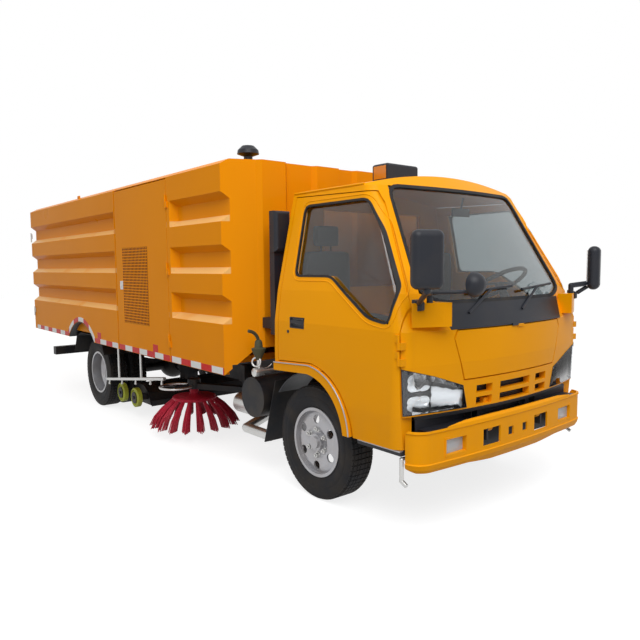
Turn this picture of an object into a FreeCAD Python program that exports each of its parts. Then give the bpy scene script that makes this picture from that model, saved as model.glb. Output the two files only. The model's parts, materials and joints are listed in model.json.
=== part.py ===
"""Light cab-over street sweeping truck, parked.

Millimetres. +X forward, +Y to the truck's left, +Z up. The pieces are drawn from the front
axle: x and y are zero over the middle of that axle, z is zero on the road. export() moves
them all so that the origin ends up under the middle of the whole truck.
"""
import FreeCAD, Part
import math
import os
from FreeCAD import Vector

# Running gear
wheelbase = 3815.0
tyre_radius = 385.0
tyre_width = 190.0
rim_radius = 222.0
rim_lip = 12.0
rim_wall = 8.0
rim_hole_radius = 30.0
rim_hole_ring = 158.0
rim_holes = 6
front_track = 1504.0
rear_track = 1430.0
twin_spacing = 230.0
hub_radius = 72.0
hub_reach = 62.0
spindle_radius = 34.0
king_pin_y = 620.0
king_pin_radius = 18.0
shaft_gap = 0.3
seat_gap = 0.3

# Frame
rail_top = 700.0
rail_height = 190.0
rail_outer_y = 350.0
rail_flange = 65.0
rail_wall = 8.0
frame_front = 900.0
frame_rear = -5100.0
cross_tube_radius = 45.0
cross_z = 655.0

# Cab
cab_rear = -320.0
cab_wall = 45.0
cab_front_radius = 3570.0
cab_corner = 90.0
cab_bottom = 525.0
panel_bottom = 720.0
crease_z = 1000.0
belt_z = 1195.0
screen_low_z = 1404.0
screen_top_z = 2052.0
cab_top = 2150.0
cab_eave = 2030.0
cab_half = 930.0
cab_nose = 985.0
floor_z = 905.0
floor_wall = 45.0
door_gap = 6.0
door_front = 846.0
door_rear = -285.0
door_depth = 55.0
door_inner = 809.0
door_inner_top = 672.0
tilt_z = 580.0
arch_x = 450.0
arch_z = 925.0

# Sweeper body
body_half = 1100.0
body_bottom = 775.0
body_top = 2320.0
body_wall = 100.0
skirt_wall = 55.0
body_rear = -5600.0
gate_depth = 72.0
hopper_front = -2725.0
bay_rear = -2710.0
bay_front = -1590.0
flank_front = -720.0
housing_front = -620.0
rib_step = 35.0
channel_depth = 60.0
channel_bevel = 48.0
panel_gap = 8.0
floor_plate_z = 850.0
floor_plate = 50.0
sub_top = 800.0
sub_width = 60.0

# Mirrors reach further forward than the bumper
bumper_nose = 1005.0
mirror_front = 1155.0
overrun = 20.0

shift_x = -(mirror_front + body_rear) / 2.0


def box(x0, x1, y0, y1, z0, z1):
    """Block between two corners, given in any order."""
    low = Vector(min(x0, x1), min(y0, y1), min(z0, z1))
    return Part.makeBox(abs(x1 - x0), abs(y1 - y0), abs(z1 - z0), low)


def wire(points):
    """Closed straight-sided wire through the points."""
    return Part.makePolygon(points + points[:1])


def prism(points, along):
    """Solid swept straight along a vector from a closed outline."""
    return Part.Face(wire(points)).extrude(along)


def prism_y(outline, y0, y1):
    """Solid from an x, z outline between two y."""
    return prism([Vector(x, y0, z) for x, z in outline], Vector(0, y1 - y0, 0))


def prism_x(outline, x0, x1):
    """Solid from a y, z outline between two x."""
    return prism([Vector(x0, y, z) for y, z in outline], Vector(x1 - x0, 0, 0))


def prism_z(outline, z0, z1):
    """Solid from an x, y outline between two z."""
    return prism([Vector(x, y, z0) for x, y in outline], Vector(0, 0, z1 - z0))


def rod(start, end, radius):
    """Round bar between two points."""
    run = end - start
    return Part.makeCylinder(radius, run.Length, start, run)


def pipe(points, radius):
    """Round bar through the points, with a ball at each turn."""
    shape = rod(points[0], points[1], radius)
    for start, end in zip(points[1:], points[2:]):
        shape = shape.fuse([Part.makeSphere(radius, start), rod(start, end, radius)])
    return shape.removeSplitter()


def flip(shape):
    """The same piece on the other side of the truck."""
    return shape.mirror(Vector(0, 0, 0), Vector(0, 1, 0))


def pair(shape):
    """A piece and its mirror image, as two solids."""
    return Part.makeCompound([shape, flip(shape)])


def spin_y(profile, centre):
    """Ring turned about the Y axis through centre from (y, radius) points."""
    points = [Vector(centre.x, centre.y + y, centre.z + r) for y, r in profile]
    return Part.Face(wire(points)).revolve(centre, Vector(0, 1, 0), 360)


def spin_z(profile, centre):
    """Ring turned about the Z axis through centre from (radius, z) points."""
    points = [Vector(centre.x + r, centre.y, centre.z + z) for r, z in profile]
    return Part.Face(wire(points)).revolve(centre, Vector(0, 0, 1), 360)


def drawn_in(points, gap):
    """Outline with its points moved towards its middle by gap both ways, or outwards for a negative gap."""
    middle_x = sum(x for x, z in points) / len(points)
    middle_z = sum(z for x, z in points) / len(points)
    return [(x - math.copysign(1, x - middle_x) * gap, z - math.copysign(1, z - middle_z) * gap) for x,
            z in points]


def spread(shares, x0, x1, z0, z1):
    """Points given as shares of a rectangle."""
    return [(x0 + (x1 - x0) * sx, z0 + (z1 - z0) * sz) for sx, sz in shares]


def export(name, shape):
    """Write one piece, moved to the truck's own origin."""
    moved = shape.copy()
    moved.translate(Vector(shift_x, 0, 0))
    os.makedirs("parts", exist_ok=True)
    moved.exportStep(os.path.join("parts", name + ".step"))
    print(name, len(moved.Solids), "solids", round(moved.Volume / 1e6, 2), "litres")


# Frame and drive

def rail(side):
    """One pressed channel rail, open towards the middle."""
    outer = side * rail_outer_y
    inner = side * (rail_outer_y - rail_flange)
    web = side * (rail_outer_y - rail_wall)
    low = rail_top - rail_height
    solid = box(frame_rear, frame_front, outer, inner, low, rail_top)
    hollow = box(frame_rear - overrun, frame_front + overrun, web, inner - side * overrun,
                 low + rail_wall, rail_top - rail_wall)
    return solid.cut(hollow)


cross_shares = (0.02, 0.358, 0.42, 0.60, 0.75, 0.90, 0.99)


def frame():
    """Ladder frame: two channel rails joined by round cross tubes."""
    shape = rail(1).fuse(rail(-1))
    reach = rail_outer_y - rail_wall / 2
    for share in cross_shares:
        x = frame_front + (frame_rear - frame_front) * share
        shape = shape.fuse(rod(Vector(x, -reach, cross_z), Vector(x, reach, cross_z), cross_tube_radius))
    return shape


engine_rear = -500.0
engine_front = 360.0
engine_low = 430.0
engine_top = 1080.0
engine_half = 265.0
gearbox_rear = -1050.0
gearbox_half = 150.0
gearbox_low = 380.0
gearbox_top = 700.0
shaft_radius = 45.0
axle_z = tyre_radius
mount_size = 60.0


def engine():
    """Truck engine as one block, with lugs out to the frame rails."""
    block = box(engine_rear, engine_front, -engine_half, engine_half, engine_low, engine_top)
    rail_inner = rail_outer_y - rail_flange
    for x in (engine_rear + mount_size, engine_front - 2 * mount_size):
        lug = box(x, x + mount_size, -rail_inner + seat_gap, rail_inner - seat_gap,
                  rail_top - rail_height, rail_top)
        block = block.fuse(lug)
    box_part = box(gearbox_rear, engine_rear, -gearbox_half, gearbox_half, gearbox_low, gearbox_top)
    return block.fuse(box_part)


diff_radius = 165.0


def drive_shaft():
    """Shaft from the gearbox to the rear axle."""
    start = Vector(gearbox_rear - door_gap, 0, (gearbox_low + gearbox_top) / 2)
    end = Vector(-wheelbase + diff_radius / 2, 0, axle_z)
    shape = rod(start, end, shaft_radius)
    knuckle = rod(start, start + (end - start) * 0.04, shaft_radius * 1.6)
    return shape.fuse(knuckle)


axle_tube_radius = 62.0
spring_half = 600.0
spring_width = 60.0
spring_depth = 60.0
spring_rise = 45.0


def spring_pack(x, y, low, side):
    """Leaf springs: an arched pack whose ends curl up to the rail."""
    shape = None
    for index in range(3):
        reach = spring_half * (1 - 0.28 * index)
        top = low + spring_depth * (1 - index / 3)
        base = low + spring_depth * (1 - (index + 1) / 3)
        rise = spring_rise * (reach / spring_half) ** 2
        upper = Part.Arc(Vector(x - reach, y, top + rise), Vector(x, y, top),
                         Vector(x + reach, y, top + rise))
        lower = Part.Arc(Vector(x + reach, y, base + rise), Vector(x, y, base),
                         Vector(x - reach, y, base + rise))
        ends = [Part.LineSegment(upper.EndPoint, lower.StartPoint),
                Part.LineSegment(lower.EndPoint, upper.StartPoint)]
        outline = Part.Wire([upper.toShape(), ends[0].toShape(), lower.toShape(), ends[1].toShape()])
        leaf = Part.Face(outline).extrude(Vector(0, side * spring_width, 0))
        shape = leaf if shape is None else shape.fuse(leaf)
    return shape


beam_half_x = 40.0
beam_depth = 70.0
eye_radius = 34.0


def front_axle():
    """Forged beam with an eye for each king pin, and its two leaf springs."""
    spring_low = rail_top - rail_height - spring_depth - spring_rise - seat_gap
    top = spring_low - seat_gap
    low = top - beam_depth
    shape = box(-beam_half_x, beam_half_x, -king_pin_y, king_pin_y, low, top)
    for side in (1, -1):
        centre = Vector(0, side * king_pin_y, low)
        up = Vector(0, 0, beam_depth)
        shape = shape.fuse(rod(centre, centre + up, eye_radius))
        shape = shape.cut(box(-beam_half_x, beam_half_x, side * (king_pin_y + eye_radius * 0.2),
                              side * (king_pin_y + 2 * eye_radius), low,
                              top).cut(rod(centre, centre + up, eye_radius)))
        shape = shape.cut(rod(centre - up, centre + up * 2, king_pin_radius + shaft_gap))
    return shape


def front_springs():
    low = rail_top - rail_height - spring_depth - spring_rise - seat_gap
    return pair(spring_pack(0, rail_outer_y - spring_width, low, 1))


def rear_axle():
    """Axle tube with its differential housing and a stub at each end."""
    tube_end = rear_track / 2 - twin_spacing / 2 - tyre_width / 2 - 2 * seat_gap
    centre = Vector(-wheelbase, 0, axle_z)
    shape = rod(centre + Vector(0, -tube_end, 0), centre + Vector(0, tube_end, 0), axle_tube_radius)
    ball = Part.makeSphere(diff_radius, centre)
    nose = rod(centre, centre + Vector(diff_radius, 0, 0), axle_tube_radius)
    stub = rear_track / 2 + hub_reach * 1.2
    ends = rod(centre + Vector(0, -stub, 0), centre + Vector(0, stub, 0), spindle_radius)
    return shape.fuse([ball, nose, ends])


hanger_gap = 35.0


def rear_springs():
    """Rear leaf packs beside the rails, each hung from the rail at both ends."""
    low = axle_z + axle_tube_radius + seat_gap
    inner = rail_outer_y + hanger_gap
    pack = spring_pack(-wheelbase, inner, low, 1)
    for end in (-1, 1):
        x = -wheelbase + end * spring_half
        hanger = box(x - end * spring_depth, x, rail_outer_y + seat_gap, inner + spring_width,
                     low + spring_depth * 0.7 + spring_rise * 0.8,
                     low + spring_depth + spring_rise + hanger_gap)
        pack = pack.fuse(hanger)
    return pair(pack)


fork_arm = 26.0
fork_x = 30.0
upright = 30.0


def knuckle():
    """Left steering knuckle: king pin, fork round the beam eye, upright and spindle."""
    spring_low = rail_top - rail_height - spring_depth - spring_rise - seat_gap
    top = spring_low - seat_gap + seat_gap
    low = top - beam_depth - seat_gap
    pin_y = king_pin_y
    face_y = pin_y + eye_radius + upright / 2
    pin = rod(Vector(0, pin_y, low - fork_arm), Vector(0, pin_y, top + fork_arm), king_pin_radius)
    upper = box(-fork_x, fork_x, pin_y - king_pin_radius, face_y + upright, top + seat_gap, top + fork_arm)
    lower = box(-fork_x, fork_x, pin_y - king_pin_radius, face_y + upright, low - fork_arm, low - seat_gap)
    back = box(-fork_x, fork_x, face_y, face_y + upright, low - fork_arm, top + fork_arm)
    spindle = rod(Vector(0, face_y, axle_z), Vector(0, front_track / 2 + hub_reach * 1.1, axle_z),
                  spindle_radius)
    return pin.fuse([upper, lower, back, spindle])


tyre_shares = ((0.78, 0.0), (0.79, 0.08), (1.0, 0.42), (0.90, 0.90), (0.74, 1.0))


def tyre(centre):
    """Tyre with a crowned wall, a little proud of the rim lips."""
    half = tyre_width / 2
    base = rim_radius + seat_gap
    outer = [(half * sy, base + (tyre_radius - base) * sr) for sy, sr in tyre_shares]
    profile = outer + [(-y, r) for y, r in reversed(outer)]
    return spin_y(profile, centre)


rim_half = 84.0
disc_wall = 12.0
dome_shares = ((0.70, 0.945), (0.88, 0.76), (0.88, 0.50), (0.74, 0.35))
dish_shares = ((-0.20, 0.945), (-0.55, 0.86), (-1.00, 0.66), (-1.22, 0.60))


def barrel_profile(disc, hub_r):
    """Rim section: lips and well outside, disc inside, closed at the hub bore."""
    lip = rim_radius + rim_lip
    inner = rim_radius - rim_wall
    outside = [(-rim_half, lip), (-rim_half + rim_wall, lip), (-rim_half + rim_wall, rim_radius),
               (rim_half - rim_wall, rim_radius), (rim_half - rim_wall, lip), (rim_half, lip),
               (rim_half, inner)]
    face = [(rim_half * sy, rim_radius * sr) for sy, sr in disc]
    back = [(y - disc_wall, r) for y, r in reversed(face)]
    tail = [(face[0][0] - disc_wall, inner), (-rim_half, inner)]
    first = [(face[0][0], inner)]
    return outside + first + face + [(face[-1][0], hub_r), (face[-1][0] - disc_wall, hub_r)] + back + tail


def rim_holes_cut(shape, centre):
    """Oval hand holes round the disc."""
    for index in range(rim_holes):
        angle = 2 * math.pi * (index + 0.5) / rim_holes
        spot = centre + Vector(rim_hole_ring * math.cos(angle), 0, rim_hole_ring * math.sin(angle))
        reach = Vector(0, rim_radius, 0)
        shape = shape.cut(rod(spot - reach, spot + reach, rim_hole_radius))
    return shape


def front_rim(centre):
    """Front rim, left side: disc domed outwards over the hub."""
    bore = spindle_radius + shaft_gap
    shape = spin_y(barrel_profile(dome_shares, bore), centre)
    shape = rim_holes_cut(shape, centre)
    hub = rod(centre + Vector(0, -rim_half * 0.35, 0), centre + Vector(0, rim_half * 1.02, 0),
              hub_radius * 0.8)
    cap = rod(centre + Vector(0, rim_half * 1.02, 0), centre + Vector(0, rim_half * 1.2, 0),
              hub_radius * 0.55)
    spindle = rod(centre + Vector(0, -rim_half, 0), centre + Vector(0, hub_reach * 1.1 + seat_gap, 0), bore)
    return shape.fuse([hub, cap]).cut(spindle)


def rear_rims(centre):
    """Twin rims, left side: two dished discs bolted back to back on the hub."""
    bore = spindle_radius + shaft_gap
    shift = Vector(0, twin_spacing / 2, 0)
    outer = rim_holes_cut(spin_y(barrel_profile(dish_shares, bore), centre + shift), centre)
    inner = outer.mirror(centre, Vector(0, 1, 0))
    spacer = twin_spacing / 2 - rim_half * 1.22
    hub = rod(centre + Vector(0, -spacer - disc_wall, 0), centre + Vector(0, hub_reach * 1.6, 0),
              hub_radius * 1.15)
    spindle = rod(centre + Vector(0, -twin_spacing, 0), centre + Vector(0, hub_reach * 1.2 + seat_gap, 0),
                  bore)
    return outer.fuse([inner, hub]).cut(spindle)


front_left = Vector(0, front_track / 2, axle_z)
rear_left = Vector(-wheelbase, rear_track / 2, axle_z)
twin_left = [rear_left + Vector(0, twin_spacing / 2, 0), rear_left - Vector(0, twin_spacing / 2, 0)]


# Cab

cab_levels = (cab_bottom, panel_bottom, crease_z, belt_z, screen_low_z, screen_top_z, cab_top)
nose_shares = (0.970, 0.986, 1.0, 0.996, 0.914, 0.531, 0.440)
width_shares = (0.990, 1.0, 1.0, 0.996, 0.964, 0.803, 0.745)


def plan_wire(z, nose, half, inset, radius=cab_front_radius, corner=cab_corner):
    """Plan at one height: bowed front, rounded corners, straight sides."""
    nose = nose - inset
    half = half - inset
    rear = cab_rear + inset
    y_turn = half - corner
    x_turn = nose - radius + math.sqrt(radius * radius - y_turn * y_turn)
    x_side = x_turn - corner
    lean = corner * math.sqrt(0.5)
    side = [Vector(rear, -half, z), Vector(x_side, -half, z), Vector(x_side + lean, -y_turn - lean, z),
            Vector(x_turn, -y_turn, z), Vector(nose, 0, z)]
    a, b, c, d, e = side
    a2, b2, c2, d2 = [Vector(p.x, -p.y, p.z) for p in side[:4]]
    edges = [Part.LineSegment(a, b), Part.Arc(b, c, d), Part.Arc(d, e, d2), Part.Arc(d2, c2, b2),
             Part.LineSegment(b2, a2), Part.LineSegment(a2, a)]
    return Part.Wire([edge.toShape() for edge in edges])


def cab_form(inset, first=0, last=len(cab_levels)):
    """Closed form of the cab between two of its levels, drawn in by inset all round."""
    wires = []
    for index in range(first, last):
        nose = cab_nose * nose_shares[index]
        half = cab_half * width_shares[index]
        wires.append(plan_wire(cab_levels[index], nose, half, inset))
    return Part.makeLoft(wires, True, True)


def crown(inset):
    """Space under the crowned roof."""
    half = cab_half + overrun
    top = cab_top - inset
    eave = cab_eave - inset
    arc = Part.Arc(Vector(0, -half, eave - overrun), Vector(0, 0, top), Vector(0, half, eave - overrun))
    low = [Vector(0, half, 0), Vector(0, -half, 0)]
    sides = [Part.LineSegment(arc.EndPoint, low[0]), Part.LineSegment(low[0], low[1]),
             Part.LineSegment(low[1], arc.StartPoint)]
    outline = Part.Wire([arc.toShape()] + [side.toShape() for side in sides])
    face = Part.Face(outline)
    face.translate(Vector(cab_rear - overrun, 0, 0))
    return face.extrude(Vector(cab_nose - cab_rear + 2 * overrun, 0, 0))


door_shares = ((0.0, 0.0), (1.0, 0.0), (1.003, 0.31), (0.994, 0.584), (0.83, 0.804), (0.668, 0.985),
               (0.0, 1.0))
window_shares = ((0.119, 0.6436), (0.444, 0.6436), (0.774, 0.4865), (0.926, 0.469),
                 (0.946, 0.591), (0.774, 0.822), (0.641, 0.9525), (0.106, 0.9525))
flare_outer_shares = ((-0.711, 0.978), (0.133, 1.0), (0.733, 0.865), (1.0, 0.577))
flare_inner_shares = ((-0.711, 0.919), (0.111, 0.938), (0.622, 0.824), (0.88, 0.577))
flare_inner_y = 862.0
flare_proud = 14.0
door_skin = 12.0
door_lap = 16.0
glass = 6.0
glass_inset = 8.0
arch_gap = 9.0


def arch_block(shares, gap, y0, y1):
    """Space under an arch line: level behind, round over the wheel, down to the sill."""
    (xa, za), (xb, zb), (xc, zc), (xd, zd) = [(arch_x * sx, arch_z * sz) for sx, sz in shares]
    low = cab_bottom - 4 * overrun
    back = cab_rear - overrun
    start = Vector(back, y0, za + gap)
    bend = Vector(xb, y0, zb + gap)
    end = Vector(xd + gap, y0, zd)
    foot = Vector(xd + gap, y0, low)
    heel = Vector(back, y0, low)
    arc = Part.Arc(bend, Vector(xc + gap * 0.7, y0, zc + gap * 0.7), end)
    edges = [Part.LineSegment(start, bend), arc, Part.LineSegment(end, foot), Part.LineSegment(foot, heel),
             Part.LineSegment(heel, start)]
    outline = Part.Wire([edge.toShape() for edge in edges])
    return Part.Face(outline).extrude(Vector(0, y1 - y0, 0))


def door_top():
    return cab_eave + 0.4 * overrun


def door_side(gap):
    """Space outside the right doorway's inner plane, which leans in with the cab's side."""
    far = -cab_half - overrun
    side = [(far, 0), (-door_inner - gap, 0), (-door_inner - gap, screen_low_z),
            (-door_inner_top - gap, screen_top_z), (-door_inner_top - gap, cab_top), (far, cab_top)]
    return prism_x(side, cab_rear, cab_nose)


def door_plug(gap):
    """Right door's outline swept inwards and drawn in by a gap, without the wheel arch."""
    points = drawn_in(spread(door_shares, door_rear, door_front, cab_bottom, door_top()), gap)
    plug = prism_y(points, -cab_half - overrun, -door_inner_top).common(door_side(gap))
    arch = arch_block(flare_outer_shares, arch_gap + gap, -cab_half - 2 * overrun, -cab_half * 0.6)
    return plug.cut(arch)


def window_plug(gap, depth):
    points = spread(window_shares, door_rear, door_front, cab_bottom, door_top())
    return prism_y(drawn_in(points, gap), -cab_half - overrun, -cab_half + depth)


screen_outline_shares = ((-0.792, 0.0), (-0.645, -0.091), (0.645, -0.091), (0.792, 0.0), (0.672, 1.0),
                         (-0.672, 1.0))
strip_shares = ((-0.628, 0.0), (0.628, 0.0), (0.688, 1.0), (-0.688, 1.0))
strip_top = 1340.0
lid_shares = ((-0.513, 0.0), (0.513, 0.0), (0.600, 0.84), (0.572, 1.0), (-0.572, 1.0), (-0.600, 0.84))
lid_low = 897.0
lid_top = 1189.0
lid_wall = 15.0
lid_draw = 2.0
lid_pin = 2.5
lid_barrel = 4.0
lid_hinge_x = 987.0
lid_hinge_z = 1190.0
lid_hinge_half = 60.0
lid_leaf = 12.0
lamp_shares = ((0.485, 0.0), (0.525, 0.50), (0.753, 0.76), (1.02, 1.0), (1.02, 0.0))
lamp_low = 728.0
lamp_top = 1003.0
lamp_depth = 40.0
slot_height = 48.0
slot_rows = (755.0, 827.0)
slot_centre_half = 160.0
slot_outer = (235.0, 375.0)
tunnel_half = 330.0
tunnel_top = 1180.0
tunnel_front = 470.0
tunnel_wall = 30.0
tilt_pin = 15.0
tilt_x_pin = 955.0
tilt_eye = 24.0
tilt_arm_y = 240.0
tilt_arm_width = 40.0
tilt_arm_x = (848.0, 892.0)


def outline_x(shares, z0, z1, gap):
    """Front outline given as shares of the cab's half width and a height, drawn in by gap."""
    return drawn_in([(cab_half * sy, z0 + (z1 - z0) * sz) for sy, sz in shares], gap)


def front_plug(shares, z0, z1, gap):
    """Front outline swept backwards through the cab's front wall."""
    return prism_x(outline_x(shares, z0, z1, gap), cab_nose + overrun, cab_nose * 0.40)


def skin(outer, inner):
    """Wall between two insets of the cab's form."""
    return cab_form(outer).cut(cab_form(inner))


def lamp_plug(gap):
    """Both headlamps' outlines, from the door seam forwards."""
    points = outline_x(lamp_shares, lamp_low, lamp_top, gap)
    plug = prism_x(points, cab_nose + overrun, door_front + door_gap + gap)
    return plug.fuse(flip(plug))


def tilt_eyes(y):
    """Arm from the cab's front wall down to its tilt pin."""
    arm = box(tilt_arm_x[0], tilt_arm_x[1], y, y + tilt_arm_width, tilt_z - tilt_eye,
              panel_bottom + 2 * overrun)
    foot = box(tilt_arm_x[0], tilt_x_pin, y, y + tilt_arm_width, tilt_z - tilt_eye, tilt_z + tilt_eye)
    head = box(tilt_arm_x[0], cab_nose - cab_wall, y, y + tilt_arm_width, panel_bottom + seat_gap,
               panel_bottom + 2 * overrun)
    eye = rod(Vector(tilt_x_pin, y, tilt_z), Vector(tilt_x_pin, y + tilt_arm_width, tilt_z), tilt_eye)
    hole = rod(Vector(tilt_x_pin, y - overrun, tilt_z), Vector(tilt_x_pin, y + tilt_arm_width + overrun,
                                                               tilt_z),
               tilt_pin + shaft_gap)
    return arm.fuse([foot, head, eye]).cut(hole)


def cab_shell():
    """Pressed cab: roof, walls, floor with its engine hump, open doorways and screen."""
    outer = cab_form(0).common(crown(0))
    inner = cab_form(cab_wall)
    far = cab_nose + overrun
    room = inner.common(crown(cab_wall)).common(box(cab_rear, far, -cab_half, cab_half,
                                                    floor_z + floor_wall, cab_top))
    under = inner.common(box(cab_rear, far, -cab_half, cab_half, 0, floor_z))
    shell = outer.cut(room).cut(under)
    shell = shell.cut(box(cab_rear - overrun, cab_rear + cab_wall, -cab_half, cab_half, 0, floor_z))
    shell = shell.cut(box(cab_rear - overrun, far, -cab_half - overrun, cab_half + overrun, 0, panel_bottom))
    hump = box(cab_rear, tunnel_front, -tunnel_half, tunnel_half, floor_z, tunnel_top)
    bore = box(cab_rear - overrun, tunnel_front - tunnel_wall, -tunnel_half + tunnel_wall,
               tunnel_half - tunnel_wall,
               floor_z - overrun, tunnel_top - tunnel_wall)
    shell = shell.fuse(hump).cut(bore)
    doorway = door_plug(0)
    doorway = doorway.fuse(arch_block(flare_outer_shares, 0, -cab_half - overrun, -flare_inner_y + cab_wall))
    arch_space = box(cab_rear - overrun, door_front, -cab_half - overrun, -flare_inner_y + cab_wall, 0,
                     floor_z)
    for cutter in (doorway, arch_space):
        shell = shell.cut(cutter).cut(flip(cutter))
    shell = shell.cut(front_plug(screen_outline_shares, screen_low_z, screen_top_z, 0))
    shell = shell.cut(front_plug(strip_shares, belt_z, strip_top, 0))
    shell = shell.cut(front_plug(lid_shares, lid_low, lid_top, -door_gap).common(skin(-overrun,
            lid_wall + door_gap)))
    shell = shell.cut(lamp_plug(0).common(skin(-overrun, lamp_depth)))
    slots = [box(cab_nose * 0.8, far, -slot_centre_half, slot_centre_half, z - slot_height / 2,
                 z + slot_height / 2)
             for z in slot_rows]
    for z in slot_rows:
        side = box(cab_nose * 0.8, far, slot_outer[0], slot_outer[1], z - slot_height / 2,
                   z + slot_height / 2)
        slots += [side, flip(side)]
    shell = shell.cut(slots)
    arms = tilt_eyes(tilt_arm_y).fuse([mirror_cover()] + [flip(half) for half in door_hinges("pillar")])
    rear_glass = box(cab_rear - overrun, cab_rear + 2 * cab_wall, -cab_half * 0.55, cab_half * 0.55,
                     screen_low_z, screen_top_z - 2 * cab_wall)
    return shell.cut(rear_glass).fuse([arms, flip(arms)])


def windscreen():
    pane = skin(glass_inset, glass_inset + glass)
    front = front_plug(screen_outline_shares, screen_low_z, screen_top_z, seat_gap)
    rear = box(cab_rear, cab_rear + glass, -cab_half * 0.55 + seat_gap, cab_half * 0.55 - seat_gap,
               screen_low_z + seat_gap, screen_top_z - 2 * cab_wall - seat_gap)
    rear.translate(Vector(cab_wall / 2, 0, 0))
    return Part.makeCompound([pane.common(front), rear])


def cowl_strip():
    """Dark panel under the screen."""
    strip = skin(-glass / 2, cab_wall).common(front_plug(strip_shares, belt_z, strip_top, seat_gap))
    start = Vector(lid_hinge_x, -lid_hinge_half, lid_hinge_z)
    middle = Vector(lid_hinge_x, -seat_gap, lid_hinge_z)
    end = Vector(lid_hinge_x, lid_hinge_half, lid_hinge_z)
    leaf = box(lid_hinge_x - lid_leaf, lid_hinge_x, -lid_hinge_half, -seat_gap,
               lid_hinge_z + door_gap * 0.6, lid_hinge_z + lid_leaf)
    link = box(lid_hinge_x - lid_pin, lid_hinge_x + lid_pin, -lid_hinge_half, -seat_gap, lid_hinge_z,
               lid_hinge_z + lid_leaf)
    return strip.fuse([rod(start, middle, lid_barrel), rod(start, end, lid_pin), leaf, link])


def front_lid():
    """Service lid in the cab's nose."""
    lid = skin(0, lid_wall).common(front_plug(lid_shares, lid_low, lid_top, lid_draw))
    start = Vector(lid_hinge_x, seat_gap, lid_hinge_z)
    end = Vector(lid_hinge_x, lid_hinge_half, lid_hinge_z)
    leaf = box(lid_hinge_x - lid_leaf, lid_hinge_x + lid_pin, seat_gap, lid_hinge_half,
               lid_hinge_z - lid_leaf, lid_hinge_z)
    return lid.fuse([rod(start, end, lid_barrel), leaf]).cut(rod(start, end, lid_pin + seat_gap))


def headlamps():
    return skin(-glass / 2, lamp_depth - seat_gap).common(lamp_plug(seat_gap))


handle_back = 137.0
handle_length = 154.0
handle_height = 74.0
handle_depth = 25.0
handle_z = 1154.0


def door():
    """Right door: outer skin laps the rear pillar, inner frame stops short of it."""
    slab = cab_form(0).common(crown(0)).cut(cab_form(door_depth)).common(door_plug(door_gap))
    lap = cab_form(door_skin).common(box(cab_rear, door_rear + door_lap, -cab_half, 0, 0, cab_top))
    slab = slab.cut(lap)
    slab = slab.cut(window_plug(0, cab_half * 0.3))
    recess = box(door_rear + handle_back, door_rear + handle_back + handle_length, -cab_half - overrun,
                 -cab_half + handle_depth, handle_z, handle_z + handle_height)
    return slab.cut(recess).fuse(door_hinges("door")).cut(door_pin_holes())


door_pin_x = 843.0
door_pin_y = 926.0
door_pin = 3.5
door_barrel = 7.0
door_leaf = 26.0
door_hinge_zs = (1012.0, 1102.0)
door_hinge_length = 40.0


def door_hinges(half):
    """Right door's hinge halves: the lower one stays on the pillar with the pin, the upper one is the door's."""
    shapes = []
    for z in door_hinge_zs:
        foot = Vector(door_pin_x, -door_pin_y, z)
        middle = foot + Vector(0, 0, door_hinge_length)
        top = middle + Vector(0, 0, door_hinge_length)
        if half == "pillar":
            leaf = box(door_pin_x + lid_leaf / 2, door_pin_x + door_leaf, -door_pin_y - door_pin,
                       -cab_half + door_leaf * 1.5, z,
                       middle.z - seat_gap)
            link = box(door_pin_x, door_pin_x + door_leaf, -door_pin_y - door_pin, -door_pin_y + door_pin,
                       z, middle.z - seat_gap)
            shapes += [rod(foot, middle - Vector(0, 0, seat_gap), door_barrel), rod(foot, top, door_pin),
                       leaf, link]
        else:
            leaf = box(door_pin_x - door_leaf, door_pin_x - lid_leaf / 2, -door_pin_y - door_pin,
                       -cab_half + door_leaf,
                       middle.z, top.z)
            link = box(door_pin_x - door_leaf, door_pin_x, -door_pin_y - door_pin, -door_pin_y + door_pin,
                       middle.z, top.z)
            shapes += [rod(middle, top, door_barrel), leaf, link]
    return shapes


def door_pin_holes():
    reach = Vector(0, 0, 2 * door_hinge_length)
    return [rod(Vector(door_pin_x, -door_pin_y, z), Vector(door_pin_x, -door_pin_y, z) + reach,
                door_pin + seat_gap)
            for z in door_hinge_zs]


def door_pane():
    """Side window, set in the door."""
    pane = skin(door_depth * 0.4, door_depth * 0.4 + glass).common(window_plug(seat_gap, cab_half * 0.3))
    return pane.common(door_side(door_gap))


def door_handle():
    """Flap in the door's handle recess."""
    x0 = door_rear + handle_back + seat_gap
    x1 = x0 + handle_length - 2 * seat_gap
    y0 = -cab_half + handle_depth - seat_gap
    return box(x0, x1, y0, y0 - glass * 2, handle_z + handle_height * 0.35,
               handle_z + handle_height - seat_gap)


def arch_flare():
    """Right arch trim: band between the two arch lines, a little proud of the cab."""
    y0 = -cab_half - flare_proud
    outer = arch_block(flare_outer_shares, -seat_gap, y0, -flare_inner_y)
    inner = arch_block(flare_inner_shares, 0, y0 - overrun, -flare_inner_y + overrun)
    low = arch_z * flare_outer_shares[3][1]
    return outer.cut(inner).common(box(cab_rear, arch_x + overrun, y0 - overrun, 0, low, cab_top))


liner_gap = 85.0
liner_wall = 8.0


def arch_liner():
    """Right splash guard over the front tyre, hung under the cab floor."""
    outer_r = tyre_radius + liner_gap + liner_wall
    centre = Vector(0, -flare_inner_y + seat_gap, axle_z)
    along = Vector(0, flare_inner_y - king_pin_y, 0)
    ring = Part.makeCylinder(outer_r, along.Length, centre, along)
    ring = ring.cut(Part.makeCylinder(outer_r - liner_wall, along.Length, centre, along))
    top = box(-outer_r * 0.80, outer_r * 0.80, -flare_inner_y, -king_pin_y, axle_z + outer_r * 0.6, floor_z)
    strap = box(-liner_wall, liner_wall, -flare_inner_y + seat_gap, -king_pin_y,
                axle_z + outer_r - liner_wall, floor_z - seat_gap)
    return ring.common(top).fuse(strap)


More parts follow.
